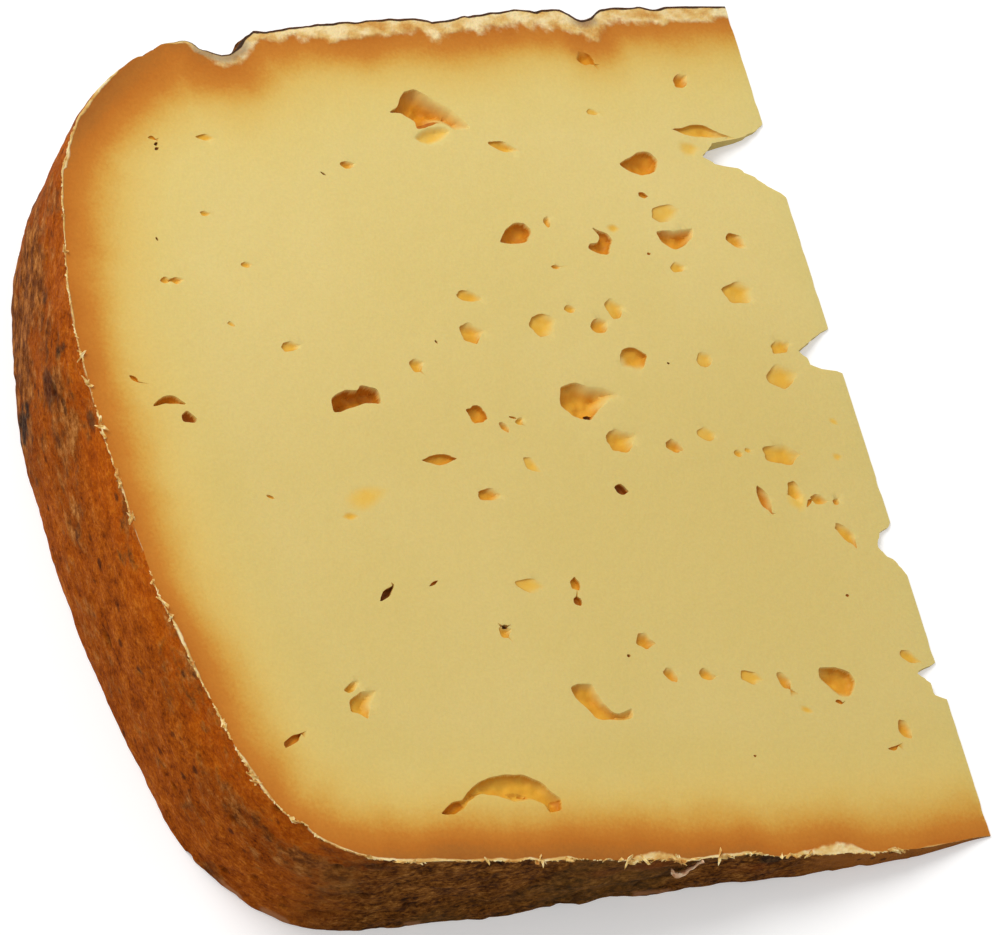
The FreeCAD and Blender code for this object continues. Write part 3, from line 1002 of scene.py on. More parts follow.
@dataclass
class CutFace:
    """One of the wedge's two cut faces, with its openings."""

    wheel: Wheel
    upper: bool
    openings: list[Opening | Tear]
    spacing: float = 0.9
    ripple: float = 0.09
    waves: tuple[Point, ...] = ((0.8, 17.0), (0.25, 3.5))
    seed: int = 1

    def sunk(self, face: np.ndarray) -> np.ndarray:
        """How far the face lies below its true plane, in millimetres.

        Args:
            face: places as rows of across and along.

        Returns:
            The depth of the openings and of the knife's slight waves at each place.
        """
        flat = np.column_stack([face, np.zeros(len(face))])
        waves = 1 + layers(flat, self.waves, self.seed)
        depth = np.zeros(len(face))
        for opening in self.openings:
            depth = np.maximum(depth, opening.shape(face)[0])
        depth = depth * (1 + 0.35 * lumps(flat, 1.0, self.seed + 2))
        paste = face[:, 0] * math.sin(self.wheel.cut)
        return np.minimum(depth + self.ripple * waves * smooth(0.0, 12.0, face[:, 0]), 0.6 * paste)

    def deep(self, face: np.ndarray, rim: np.ndarray) -> np.ndarray:
        """How much further the ripening has crept in by the top corner and along the foot, in millimetres.

        Args:
            face: places as rows of across and along.
            rim: the distance from the rind at each place.

        Returns:
            The extra depth at each place.
        """
        across, along = face.T
        corner = np.exp(-(((across - 84.0) / 13.0) ** 2) - ((along - 95.0) / 13.0) ** 2)
        foot = smooth(22.0, 34.0, across) * smooth(84.0, 74.0, across) * smooth(12.0, 5.0, along)
        return 2.7 * corner + (0.8 + 1.0 * smooth(3.8, 1.4, rim)) * foot

    def out(self) -> np.ndarray:
        """The direction in which the face looks."""
        if self.upper:
            return np.array([math.sin(self.wheel.cut), 0.0, math.cos(self.wheel.cut)])
        return np.array([0.0, 0.0, -1.0])

    def rings(self, outline: np.ndarray) -> tuple[np.ndarray, list[tuple[int, int]]]:
        """Rings of points that carry the openings' shapes.

        Args:
            outline: the face's outline.

        Returns:
            The points and the edges between them.
        """
        rings: list[np.ndarray] = []
        edges: list[tuple[int, int]] = []
        for opening in self.openings:
            for ring in opening.rings():
                edges += loop_edges(sum(map(len, rings)), len(ring))
                rings.append(ring)
            rings.append(opening.loose())
        points = np.vstack(rings)
        kept = inside(points, outline) & (nearest(points, outline)[0] > 0.25)
        number = np.cumsum(kept) - 1
        edges = [(int(number[a]), int(number[b])) for a, b in edges if kept[a] and kept[b]]
        return points[kept], edges

    def build(self, outline: np.ndarray, on_rind: np.ndarray, crust: np.ndarray, skin: np.ndarray) -> Surface:
        """Makes the face.

        Args:
            outline: its outline as rows of across and along.
            on_rind: True for each outline point that lies on the rind.
            crust: width of the pale crust at each outline point, in millimetres.
            skin: width of the dark skin at each outline point, in millimetres.

        Returns:
            The face's surface.
        """
        rings, ring_edges = self.rings(outline)
        grid = jittered(outline.min(axis=0), outline.max(axis=0), self.spacing, self.seed)
        grid = grid[inside(grid, outline)]
        grid = grid[nearest(grid, outline)[0] > 0.45]
        grid = grid[nearest(grid, rings)[0] > 0.4 * self.spacing]
        points = np.vstack([outline, rings, grid])
        edges = loop_edges(0, len(outline))
        edges += [(a + len(outline), b + len(outline)) for a, b in ring_edges]
        face, triangles = triangulate(points, edges, outline)
        angle = np.full(len(face), self.wheel.cut if self.upper else 0.0)
        places = self.wheel.to_space(face[:, 0], face[:, 1], angle)
        places = places - self.out() * self.sunk(face)[:, None]
        rim, number = nearest(face, outline[on_rind])
        cover = np.zeros(len(face))
        tone = np.zeros(len(face))
        # The third value that each opening gives is painted shade just inside its crisp rims.
        lip = np.zeros(len(face))
        for opening in self.openings:
            _, own_cover, own_rim_shade = opening.shape(face)
            tone = np.where(own_cover > cover, opening.tone, tone)
            cover = np.maximum(cover, own_cover)
            lip = np.maximum(lip, own_rim_shade * own_cover)
        values = {
            "rim": rim,
            "crust": crust[on_rind][number] * (1 - smooth(3.5, 10.0, rim)),
            "skin": skin[on_rind][number],
            "fold": self.wheel.fold_at(outline[on_rind][number]),
            "cover": cover,
            "tone": tone,
            "lip": lip,
            "deep": self.deep(face, rim),
            # Darker towards the foot: partly the paste's own tone and partly painted shade where the light
            # falls off.
            "shade": smooth(88.0, 45.0, face[:, 1]),
        }
        return Surface(places, triangles, np.zeros(len(triangles), dtype=int), values)


@dataclass(frozen=True)
class Stain:
    """A dark mark on the rind.

    It lies by a point of the section, at a share of the cut's height, and its size is given along the section
    and up the rind.
    """

    across: float
    along: float
    share: float
    length: float
    height: float
    strength: float


STAINS = [
    Stain(95.0, 64.2, 0.14, 2.3, 3.4, 0.95),
    Stain(95.0, 65.2, 0.82, 0.9, 1.2, 0.9),
    Stain(95.0, 63.4, 0.60, 2.6, 2.4, 0.7),
    Stain(95.0, 73.1, 0.68, 1.2, 1.5, 0.6),
    Stain(94.2, 79.3, 0.84, 1.3, 1.4, 0.7),
    Stain(93.0, 86.0, 0.55, 1.2, 1.8, 0.45),
    Stain(95.0, 55.3, 0.93, 1.4, 1.0, 0.6),
    Stain(82.0, 3.6, 0.93, 2.0, 1.2, 0.8),
    Stain(76.0, 2.6, 0.90, 1.8, 0.9, 0.6),
    Stain(89.0, 9.5, 0.12, 2.2, 1.6, 0.6),
    Stain(91.5, 17.0, 0.35, 1.0, 0.9, 0.7),
    Stain(93.5, 30.0, 0.55, 1.2, 0.7, 0.6),
    Stain(94.0, 22.0, 0.75, 0.8, 0.6, 0.6),
    Stain(28.5, 0.5, 0.86, 1.9, 0.8, 0.95),
    Stain(47.0, 1.4, 0.80, 1.6, 1.0, 0.6),
]


@dataclass
class Side:
    """The wedge's side: the rind round the outside and the torn paste of the thin tip edge."""

    wheel: Wheel
    upper: CutFace
    lower: CutFace
    spacing: float = 0.4
    broad: tuple[Point, ...] = ((0.45, 16.0), (0.2, 6.0))
    fine: tuple[Point, ...] = ((0.13, 2.1), (0.07, 0.9))
    streaks: tuple[Point, ...] = ((0.16, 1.3), (0.1, 0.6))
    ragged: tuple[Point, ...] = ((0.8, 1.3), (0.6, 0.6))
    leaning: float = 0.9
    pit_depth: float = 0.5
    crack_depth: float = 0.3
    tip_hollow: float = 0.3
    skin_width: float = 0.28
    seed: int = 40
    line: np.ndarray = field(init=False)
    on_rind: np.ndarray = field(init=False)
    way: np.ndarray = field(init=False)
    out: np.ndarray = field(init=False)

    def __post_init__(self) -> None:
        """Joins the rind's line and the tip's into one closed line and measures it."""
        rind = self.wheel.rind_line()
        tip = self.wheel.tip_line()
        self.line = np.vstack([rind, tip, rind[:1]])
        self.on_rind = np.arange(len(self.line)) < len(rind)
        steps = np.hypot(*np.diff(self.line, axis=0).T)
        self.way = np.concatenate([[0.0], np.cumsum(steps)])
        tangent = np.gradient(self.line, axis=0)
        kernel = np.ones(5) / 5
        tangent = np.column_stack([np.convolve(tangent[:, axis], kernel, mode="same") for axis in (0, 1)])
        tangent /= np.linalg.norm(tangent, axis=1)[:, None]
        self.out = np.column_stack([tangent[:, 1], -tangent[:, 0]])
        self.out[0] = self.out[-1] = (0.0, -1.0)

    def follow(self, way: np.ndarray, what: np.ndarray) -> np.ndarray:
        """Looks up a value of the line at distances along it."""
        return np.interp(way, self.way, what)

    def relief(self, way: np.ndarray, share: np.ndarray) -> tuple[np.ndarray, dict[str, np.ndarray]]:
        """How far the side stands out from its true form.

        Args:
            way: distances along the closed line.
            share: heights as shares of the cut, 0 at the lower face and 1 at the upper one.

        Returns:
            The relief in millimetres, and the values that its colouring needs.
        """
        across = self.follow(way, self.line[:, 0])
        along = self.follow(way, self.line[:, 1])
        places = self.wheel.to_space(across, along, share * self.wheel.cut)
        thick = across * math.sin(self.wheel.cut)
        rind = self.follow(way, self.on_rind.astype(float))
        foot = smooth(86.0, 71.0, across) * (along < self.wheel.height / 2)
        top = smooth(86.0, 74.0, across) * (along > self.wheel.height / 2)
        low = smooth(34.0, 14.0, along) * (1 - foot)
        high = smooth(46.0, 76.0, along) * (1 - top)
        long_way = np.column_stack([way / 5.0, share * thick, np.zeros_like(way)])
        few = pits(places * np.array([1.0, 0.6, 1.0]), 6.0, 0.16, self.seed + 6)
        many = pits(places * np.array([1.0, 0.7, 1.0]), 2.6, 0.24, self.seed + 7)
        many = many * smooth(-0.3, 0.2, lumps(places, 5.0, self.seed + 8))
        pocks = np.maximum(few, many * (0.35 + 0.65 * low))
        split = cracks(long_way * np.array([2.2, 1.0, 1.0]), 2.4, 0.16, self.seed + 9) * (foot + top)
        split = split * smooth(-0.2, 0.4, lumps(places, 4.0, self.seed + 10))
        broad = layers(places, self.broad, self.seed)
        fine = layers(places, self.fine, self.seed + 2)
        streaks = layers(long_way, self.streaks, self.seed + 4) * (foot + top)
        knobbly = 0.3 * lumps(places, 3.2, self.seed + 11) * (foot + top)
        leaning = self.leaning * smooth(58.0, 84.0, along) * (1 - top) * (1 - share) ** 1.5
        worn = smooth(0.0, 9.0, thick)
        height = (broad - 0.25 + streaks + knobbly) * worn + fine * (0.4 + 0.6 * worn) - leaning
        height = height - (self.pit_depth * pocks + self.crack_depth * split) * worn
        torn = self.tip_hollow * across * self.wheel.cut * np.sin(math.pi * share)
        relief = np.where(rind > 0.5, height * smooth(0.0, 3.0, thick), -torn)
        ends = smooth(0.0, 2.5, np.minimum(way, self.way[-1] - way))
        values = {
            "edge": (1 - share) * thick,
            "under": share * thick,
            "foot": foot,
            "top": top,
            "pit": np.maximum(pocks, 0.8 * split) * worn,
            "mould": high * (1 - 0.7 * share) + 0.3 * low * (1 - share),
            "high": high,
            "stain": self.stained(np.column_stack([across, along]), share, thick, places),
            "rim": np.where(rind > 0.5, 0.0, np.minimum(along, self.wheel.height - along)),
        }
        return relief * ends, values

    def stained(
        self, section: np.ndarray, share: np.ndarray, thick: np.ndarray, places: np.ndarray
    ) -> np.ndarray:
        """How dark the stains make the rind.

        Args:
            section: places as rows of across and along.
            share: heights as shares of the cut.
            thick: the cut's thickness at each place.
            places: the same places in the part's frame.

        Returns:
            A darkness from 0 to 1 for each place.
        """
        ragged = 1 + layers(places, self.ragged, self.seed + 12)
        darkness = np.zeros(len(share))
        for stain in STAINS:
            aside = np.hypot(section[:, 0] - stain.across, section[:, 1] - stain.along) / stain.length
            above = (share - stain.share) * thick / stain.height
            here = np.exp(-(aside**2) - above**2) * ragged
            darkness = np.maximum(darkness, stain.strength * smooth(0.26, 0.7, here))
        return darkness

    def flat(self, way: np.ndarray, share: np.ndarray) -> tuple[np.ndarray, dict[str, np.ndarray]]:
        """Places on the side in wheel terms, with the relief.

        Args:
            way: distances along the closed line.
            share: heights as shares of the cut.

        Returns:
            Rows of across and along, and the values that the colouring needs.
        """
        relief, values = self.relief(way, share)
        across = self.follow(way, self.line[:, 0]) + self.follow(way, self.out[:, 0]) * relief
        along = self.follow(way, self.line[:, 1]) + self.follow(way, self.out[:, 1]) * relief
        return np.column_stack([across, along]), values

    def outline(self, share: float) -> np.ndarray:
        """The outline of a cut face.

        Args:
            share: 1 for the upper face and 0 for the lower one.

        Returns:
            The outline as rows of across and along, without its last point.
        """
        way = self.way[:-1]
        return self.flat(way, np.full(len(way), share))[0]

    def crust(self) -> np.ndarray:
        """Width of the pale crust under the skin.

        Returns:
            The width in millimetres at each point of the line but its last.
        """
        across, along = self.line[:-1].T
        places = np.column_stack([across, along, np.zeros_like(across)])
        rough = 0.5 + 0.5 * lumps(places, 7.0, self.seed + 21)
        on_top = (along > self.wheel.height * 0.8).astype(float)
        on_foot = (along < self.wheel.height * 0.15).astype(float)
        narrowing = 0.45 + 0.55 * smooth(68.0, 52.0, across)
        top = on_top * smooth(76.0, 71.0, across) * (1.2 + 1.3 * rough) * narrowing
        folds = sum(furrow.depth_at(across) for furrow in self.wheel.furrows)
        patch = 1.3 * np.exp(-(((across - 21.5) / 3.6) ** 2))
        patch = patch + 0.5 * np.exp(-(((across - 43.5) / 3.0) ** 2))
        foot = on_foot * (patch + 0.3 * smooth(0.35, 0.7, rough)) * smooth(3.0, 12.0, across)
        fading = 0.4 + 0.6 * smooth(98.0, 62.0, along)
        heel = (1 - on_top) * (1 - on_foot) * (0.03 + 0.28 * smooth(0.45, 0.8, rough)) * fading
        corner = on_top * smooth(71.0, 76.0, across) * 0.35 * smooth(0.45, 0.7, rough)
        return top + 0.2 * folds * on_top + foot + heel + corner

    def skin(self) -> np.ndarray:
        """Width of the dark skin at the cut's edge.

        Returns:
            The width in millimetres at each point of the line but its last.
        """
        across, along = self.line[:-1].T
        on_top = (along > self.wheel.height * 0.8).astype(float)
        return self.skin_width * on_top * smooth(80.0, 60.0, across)

    def build(self) -> Surface:
        """Makes the side.

        Returns:
            The side's surface.
        """
        thick = self.line[:, 0] * self.wheel.cut
        foot_edge = np.column_stack([self.way, np.zeros_like(self.way)])
        head_edge = np.column_stack([self.way, thick])[::-1]
        border = np.vstack([foot_edge, head_edge])
        grid = jittered((0.0, 0.0), (self.way[-1], thick.max()), self.spacing, self.seed)
        room = self.follow(grid[:, 0], thick)
        margin = 0.4 * self.spacing
        grid = grid[(grid[:, 1] > margin) & (grid[:, 1] < room - margin)]
        strip, triangles = triangulate(np.vstack([border, grid]), loop_edges(0, len(border)), border)
        way = strip[:, 0]
        share = np.clip(strip[:, 1] / self.follow(way, thick), 0.0, 1.0)
        flat, values = self.flat(way, share)
        places = self.wheel.to_space(flat[:, 0], flat[:, 1], share * self.wheel.cut)
        places -= self.upper.out() * (self.upper.sunk(flat) * share)[:, None]
        places -= self.lower.out() * (self.lower.sunk(flat) * (1 - share))[:, None]
        middle = way[triangles].mean(axis=1)
        slots = (self.follow(middle, self.on_rind.astype(float)) > 0.5).astype(int)
        return Surface(places, triangles, slots, values)


class Nodes:
    """Short calls that build a node tree."""

    def __init__(self, tree: bpy.types.NodeTree) -> None:
        """Takes the tree to build."""
        self.tree = tree

    def add(self, kind: str, inputs: dict | None = None, **settings: object) -> bpy.types.Node:
        """Adds a node.

        Args:
            kind: the node's type.
            inputs: a value or another node's output for each input, by name or number.
            settings: the node's own properties.

        Returns:
            The node.
        """
        node = self.tree.nodes.new(kind)
        for name, value in settings.items():
            setattr(node, name, value)
        for key, value in (inputs or {}).items():
            if isinstance(value, Socket):
                self.tree.links.new(value, node.inputs[key])
            else:
                node.inputs[key].default_value = value
        return node

    def sum(self, kind: str, first: object, second: object = 0.0, third: object = 0.0) -> Socket:
        """The result of a step of arithmetic, such as ADD or MULTIPLY."""
        return self.add("ShaderNodeMath", {0: first, 1: second, 2: third}, operation=kind).outputs[0]

    def times(self, first: object, second: object) -> Socket:
        """The product of two values."""
        return self.sum("MULTIPLY", first, second)

    def weigh(self, first: object, share: float, second: object) -> Socket:
        """Two values joined, the first with the share given and the second with the rest."""
        return self.sum("MULTIPLY_ADD", first, share, self.times(second, 1 - share))

    def vector(self, kind: str, inputs: dict) -> Socket:
        """The result of a step of arithmetic on vectors, such as SCALE or SUBTRACT."""
        return self.add("ShaderNodeVectorMath", inputs, operation=kind).outputs[0]

    def value(self, name: str) -> Socket:
        """A value kept at the mesh's corners."""
        return self.add("ShaderNodeAttribute", attribute_name=name).outputs["Fac"]

    def place(self, stretch: Triple) -> Socket:
        """The place on the piece, for a pattern that is stretched.

        Args:
            stretch: how much longer the pattern is along x, y and z.

        Returns:
            The place, scaled down by the stretch.
        """
        place = self.add("ShaderNodeTexCoord").outputs["Object"]
        scale = tuple(1 / times for times in stretch)
        return self.add("ShaderNodeMapping", {"Vector": place, "Scale": scale}).outputs[0]

    def grain(
        self, size: float, detail: float = 2.0, stretch: Triple = (1, 1, 1), rough: float = 0.55
    ) -> Socket:
        """Noise from 0 to 1.

        Args:
            size: the size of its lumps in millimetres.
            detail: how many finer layers it has.
            stretch: how much longer its lumps are along x, y and z.
            rough: how strong the finer layers are.

        Returns:
            The noise.
        """
        inputs = {"Vector": self.place(stretch), "Scale": 1 / (size * MM)}
        inputs |= {"Detail": detail, "Roughness": rough}
        return self.add("ShaderNodeTexNoise", inputs).outputs["Fac"]

    def step(self, value: object, low: object, high: object, start: float = 0.0, end: float = 1.0) -> Socket:
        """Runs smoothly from start to end while the value runs from low to high."""
        inputs = {"Value": value, "From Min": low, "From Max": high, "To Min": start, "To Max": end}
        return self.add("ShaderNodeMapRange", inputs, interpolation_type="SMOOTHSTEP").outputs[0]

    def paint(
        self, under: Socket, share: object, over: Colour | Socket, strength: float = 1.0, how: str = "MIX"
    ) -> Socket:
        """Lays one colour over another.

        Args:
            under: the colour below.
            share: how much of it the upper one covers, from 0 to 1.
            over: the upper colour.
            strength: the most that it may cover.
            how: the way of blending.

        Returns:
            The blend.
        """
        covered = share if strength == 1.0 else self.times(share, strength)
        inputs = {0: covered, 6: under, 7: srgb(*over) if isinstance(over, tuple) else over}
        return self.add("ShaderNodeMix", inputs, data_type="RGBA", blend_type=how).outputs[2]

    def ramp(self, share: Socket, stops: Stops) -> Socket:
        """A colour that changes with a share.

        Args:
            share: the share to look up, from 0 to 1.
            stops: places from 0 to 1 with the colour at each.

        Returns:
            The colour.
        """
        node = self.add("ShaderNodeValToRGB", {0: share})
        elements = node.color_ramp.elements
        while len(elements) < len(stops):
            elements.new(0.5)
        for element, (place, colour) in zip(elements, stops):
            element.position = place
            element.color = srgb(*colour)
        return node.outputs["Color"]

    def bump(self, height: Socket, tall: float, strength: float, below: Socket | None = None) -> Socket:
        """Small relief that only the light shows.

        Args:
            height: the relief, from 0 to 1.
            tall: how high 1 stands, in millimetres.
            strength: how strongly it shows.
            below: coarser or finer relief that it lies on.

        Returns:
            The way the surface faces with the relief on it.
        """
        inputs = {"Height": height, "Distance": tall * MM, "Strength": strength}
        if below is not None:
            inputs["Normal"] = below
        return self.add("ShaderNodeBump", inputs).outputs[0]

    def coat(self, colour: Socket, rough: object, normal: Socket, rest: dict) -> None:
        """Ends a material.

        Args:
            colour: its colour.
            rough: its roughness.
            normal: the way it faces.
            rest: the shader's other inputs.
        """
        inputs = {"Base Color": colour, "Roughness": rough, "Normal": normal, **rest}
        shader = self.add("ShaderNodeBsdfPrincipled", inputs)
        self.add("ShaderNodeOutputMaterial", {"Surface": shader.outputs[0]})


def new_material(name: str) -> tuple[bpy.types.Material, Nodes]:
    """Makes an empty material.

    Args:
        name: its name.

    Returns:
        The material and its tree's builder.
    """
    material = bpy.data.materials.new(name)
    material.use_nodes = True
    material.node_tree.nodes.clear()
    return material, Nodes(material.node_tree)


@dataclass(frozen=True)
class PasteFinish:
    """The cut paste: pale yellow within, orange-brown towards the rind, with painted glow and shade in its
    openings.

    Ripening gives the colour at depths below the rind in millimetres, and the openings' stops the colour at
    each tone of
    an opening: orange for painted glow of light through the paste, browns for painted shade in deeper
    openings.
    """

    ripening: Stops = (
        (-2.6, (160, 94, 30)),
        (-1.5, (170, 103, 34)),
        (0.0, (188, 111, 32)),
        (1.9, (200, 127, 42)),
        (3.0, (208, 147, 57)),
        (4.0, (213, 163, 72)),
        (6.0, (219, 183, 96)),
        (8.0, (222, 191, 108)),
        (11.2, (224, 199, 121)),
        (16.0, (225, 202, 129)),
    )
    # Painted glow and shade in the openings: orange for light glowing through the paste, browns for shade in
    # deeper ones.
    hollow_glow_and_shade: Stops = (
        (0.0, (228, 190, 92)),
        (0.3, (226, 170, 52)),
        (0.55, (216, 138, 18)),
        (0.8, (172, 90, 6)),
        (1.0, (88, 40, 6)),
    )
    cream: Stops = ((0.32, (208, 152, 74)), (0.46, (226, 188, 114)), (0.62, (244, 222, 166)))
    cloud: Colour = (214, 190, 108)
    # Darker paste towards the foot: partly its own tone and partly painted shade where the light falls off.
    shade: Colour = (194, 164, 80)
    lip: Colour = (158, 84, 14)
    # Painted shade just inside the openings' crisp rims.
    mould: Colour = (148, 126, 98)
    skin: Colour = (62, 40, 22)
    roughness: float = 0.5
    glow: float = 0.12

    def within(self, nodes: Nodes, rim: Socket, crust: Socket) -> Socket:
        """The paste's colour, riper towards the rind and darker towards the foot, partly its own tone and
        partly painted shade.

        Args:
            nodes: the tree's builder.
            rim: the distance from the rind in millimetres.
            crust: the crust's width in millimetres.

        Returns:
            The colour.
        """
        drift = nodes.sum("MULTIPLY_ADD", nodes.grain(9.0, 2.0), 3.4, -1.7)
        sandy = nodes.sum("MULTIPLY_ADD", nodes.grain(0.4, 2.0), 1.6, -0.8)
        wandering = nodes.sum("ADD", nodes.sum("ADD", rim, drift), sandy)
        ripe = nodes.sum("MULTIPLY_ADD", crust, -0.9, wandering)
        ripe = nodes.sum("SUBTRACT", ripe, nodes.value("deep"))
        first, last = self.ripening[0][0], self.ripening[-1][0]
        stops = tuple(((depth - first) / (last - first), colour) for depth, colour in self.ripening)
        inputs = {"Value": ripe, "From Min": first, "From Max": last}
        colour = nodes.ramp(nodes.add("ShaderNodeMapRange", inputs).outputs[0], stops)
        inner = nodes.step(rim, 5.0, 13.0)
        cloudy = nodes.step(nodes.grain(22.0, 3.0), 0.3, 0.7)
        colour = nodes.paint(colour, nodes.times(cloudy, inner), self.cloud, 0.3)
        # Partly painted shade: darkens the inner paste towards the foot, where the light falls off.
        colour = nodes.paint(colour, nodes.times(nodes.value("shade"), inner), self.shade, 0.25)
        speck = nodes.step(nodes.grain(0.35, 2.0), 0.3, 0.7, 0.975, 1.015)
        tint = nodes.add("ShaderNodeCombineColor", {0: speck, 1: speck, 2: speck}).outputs[0]
        return nodes.paint(colour, 1.0, tint, how="MULTIPLY")

    def crusted(self, nodes: Nodes, rim: Socket, crust: Socket) -> Socket:
        """Where the pale crust lies, from 0 to 1.

        Args:
            nodes: the tree's builder.
            rim: the distance from the rind in millimetres.
            crust: the crust's width in millimetres.

        Returns:
            The share that it covers.
        """
        reach = nodes.times(crust, nodes.sum("MULTIPLY_ADD", nodes.grain(2.6, 4.0), 2.4, -0.25))
        soft = nodes.times(crust, 0.3)
        covered = nodes.step(nodes.sum("SUBTRACT", rim, reach), nodes.times(soft, -1.0), soft, 1.0, 0.0)
        return nodes.times(covered, nodes.step(crust, 0.02, 0.15))

    def make(self) -> bpy.types.Material:
        """Builds the material: the paste, then its openings, the crust and the dark skin.

        Returns:
            The material.
        """
        material, nodes = new_material("paste")
        rim = nodes.value("rim")
        crust = nodes.value("crust")
        skin = nodes.value("skin")
        colour = self.within(nodes, rim, crust)
        # Painted glow and shade inside the openings, darker for deeper ones.
        patchy = nodes.sum("MULTIPLY_ADD", nodes.grain(1.3, 3.0), 0.35, -0.17)
        painted_hollow = nodes.ramp(nodes.sum("ADD", nodes.value("tone"), patchy), self.hollow_glow_and_shade)
        colour = nodes.paint(colour, nodes.value("cover"), painted_hollow, 0.96)
        # Painted shade: darkens the paste just inside the openings' crisp rims.
        colour = nodes.paint(colour, nodes.value("lip"), self.lip, 0.65)
        crusted = self.crusted(nodes, rim, crust)
        cream = nodes.ramp(nodes.grain(1.8, 3.0, (1.6, 1, 1)), self.cream)
        mouldy = nodes.times(nodes.value("fold"), nodes.step(rim, 0.5, 1.5, 1.0, 0.0))
        colour = nodes.paint(colour, crusted, nodes.paint(cream, mouldy, self.mould, 0.75), 0.92)
        uneven = nodes.sum("MULTIPLY_ADD", nodes.grain(1.8, 3.0), 1.2, 0.4)
        past = nodes.sum("SUBTRACT", rim, nodes.times(skin, uneven))
        skinned = nodes.times(nodes.step(past, -0.06, 0.06, 1.0, 0.0), nodes.step(skin, 0.02, 0.1))
        colour = nodes.paint(colour, skinned, self.skin)
        rough = nodes.step(nodes.grain(3.0, 3.0), 0.3, 0.7, self.roughness - 0.08, self.roughness + 0.1)
        fine = nodes.bump(nodes.grain(0.35, 3.0), 0.06, 0.5)
        lumpy = nodes.bump(nodes.grain(1.6, 3.0), 0.12, 0.5, fine)
        crumbly = nodes.bump(nodes.times(crusted, nodes.grain(0.5, 3.0)), 0.4, 0.5, lumpy)
        rest = {
            "IOR": 1.4,
            "Specular IOR Level": 0.2,
            "Subsurface Weight": self.glow,
            "Subsurface Radius": (1.0, 0.55, 0.2),
            "Subsurface Scale": 2.5 * MM,
        }
        nodes.coat(colour, rough, crumbly, rest)
        return material


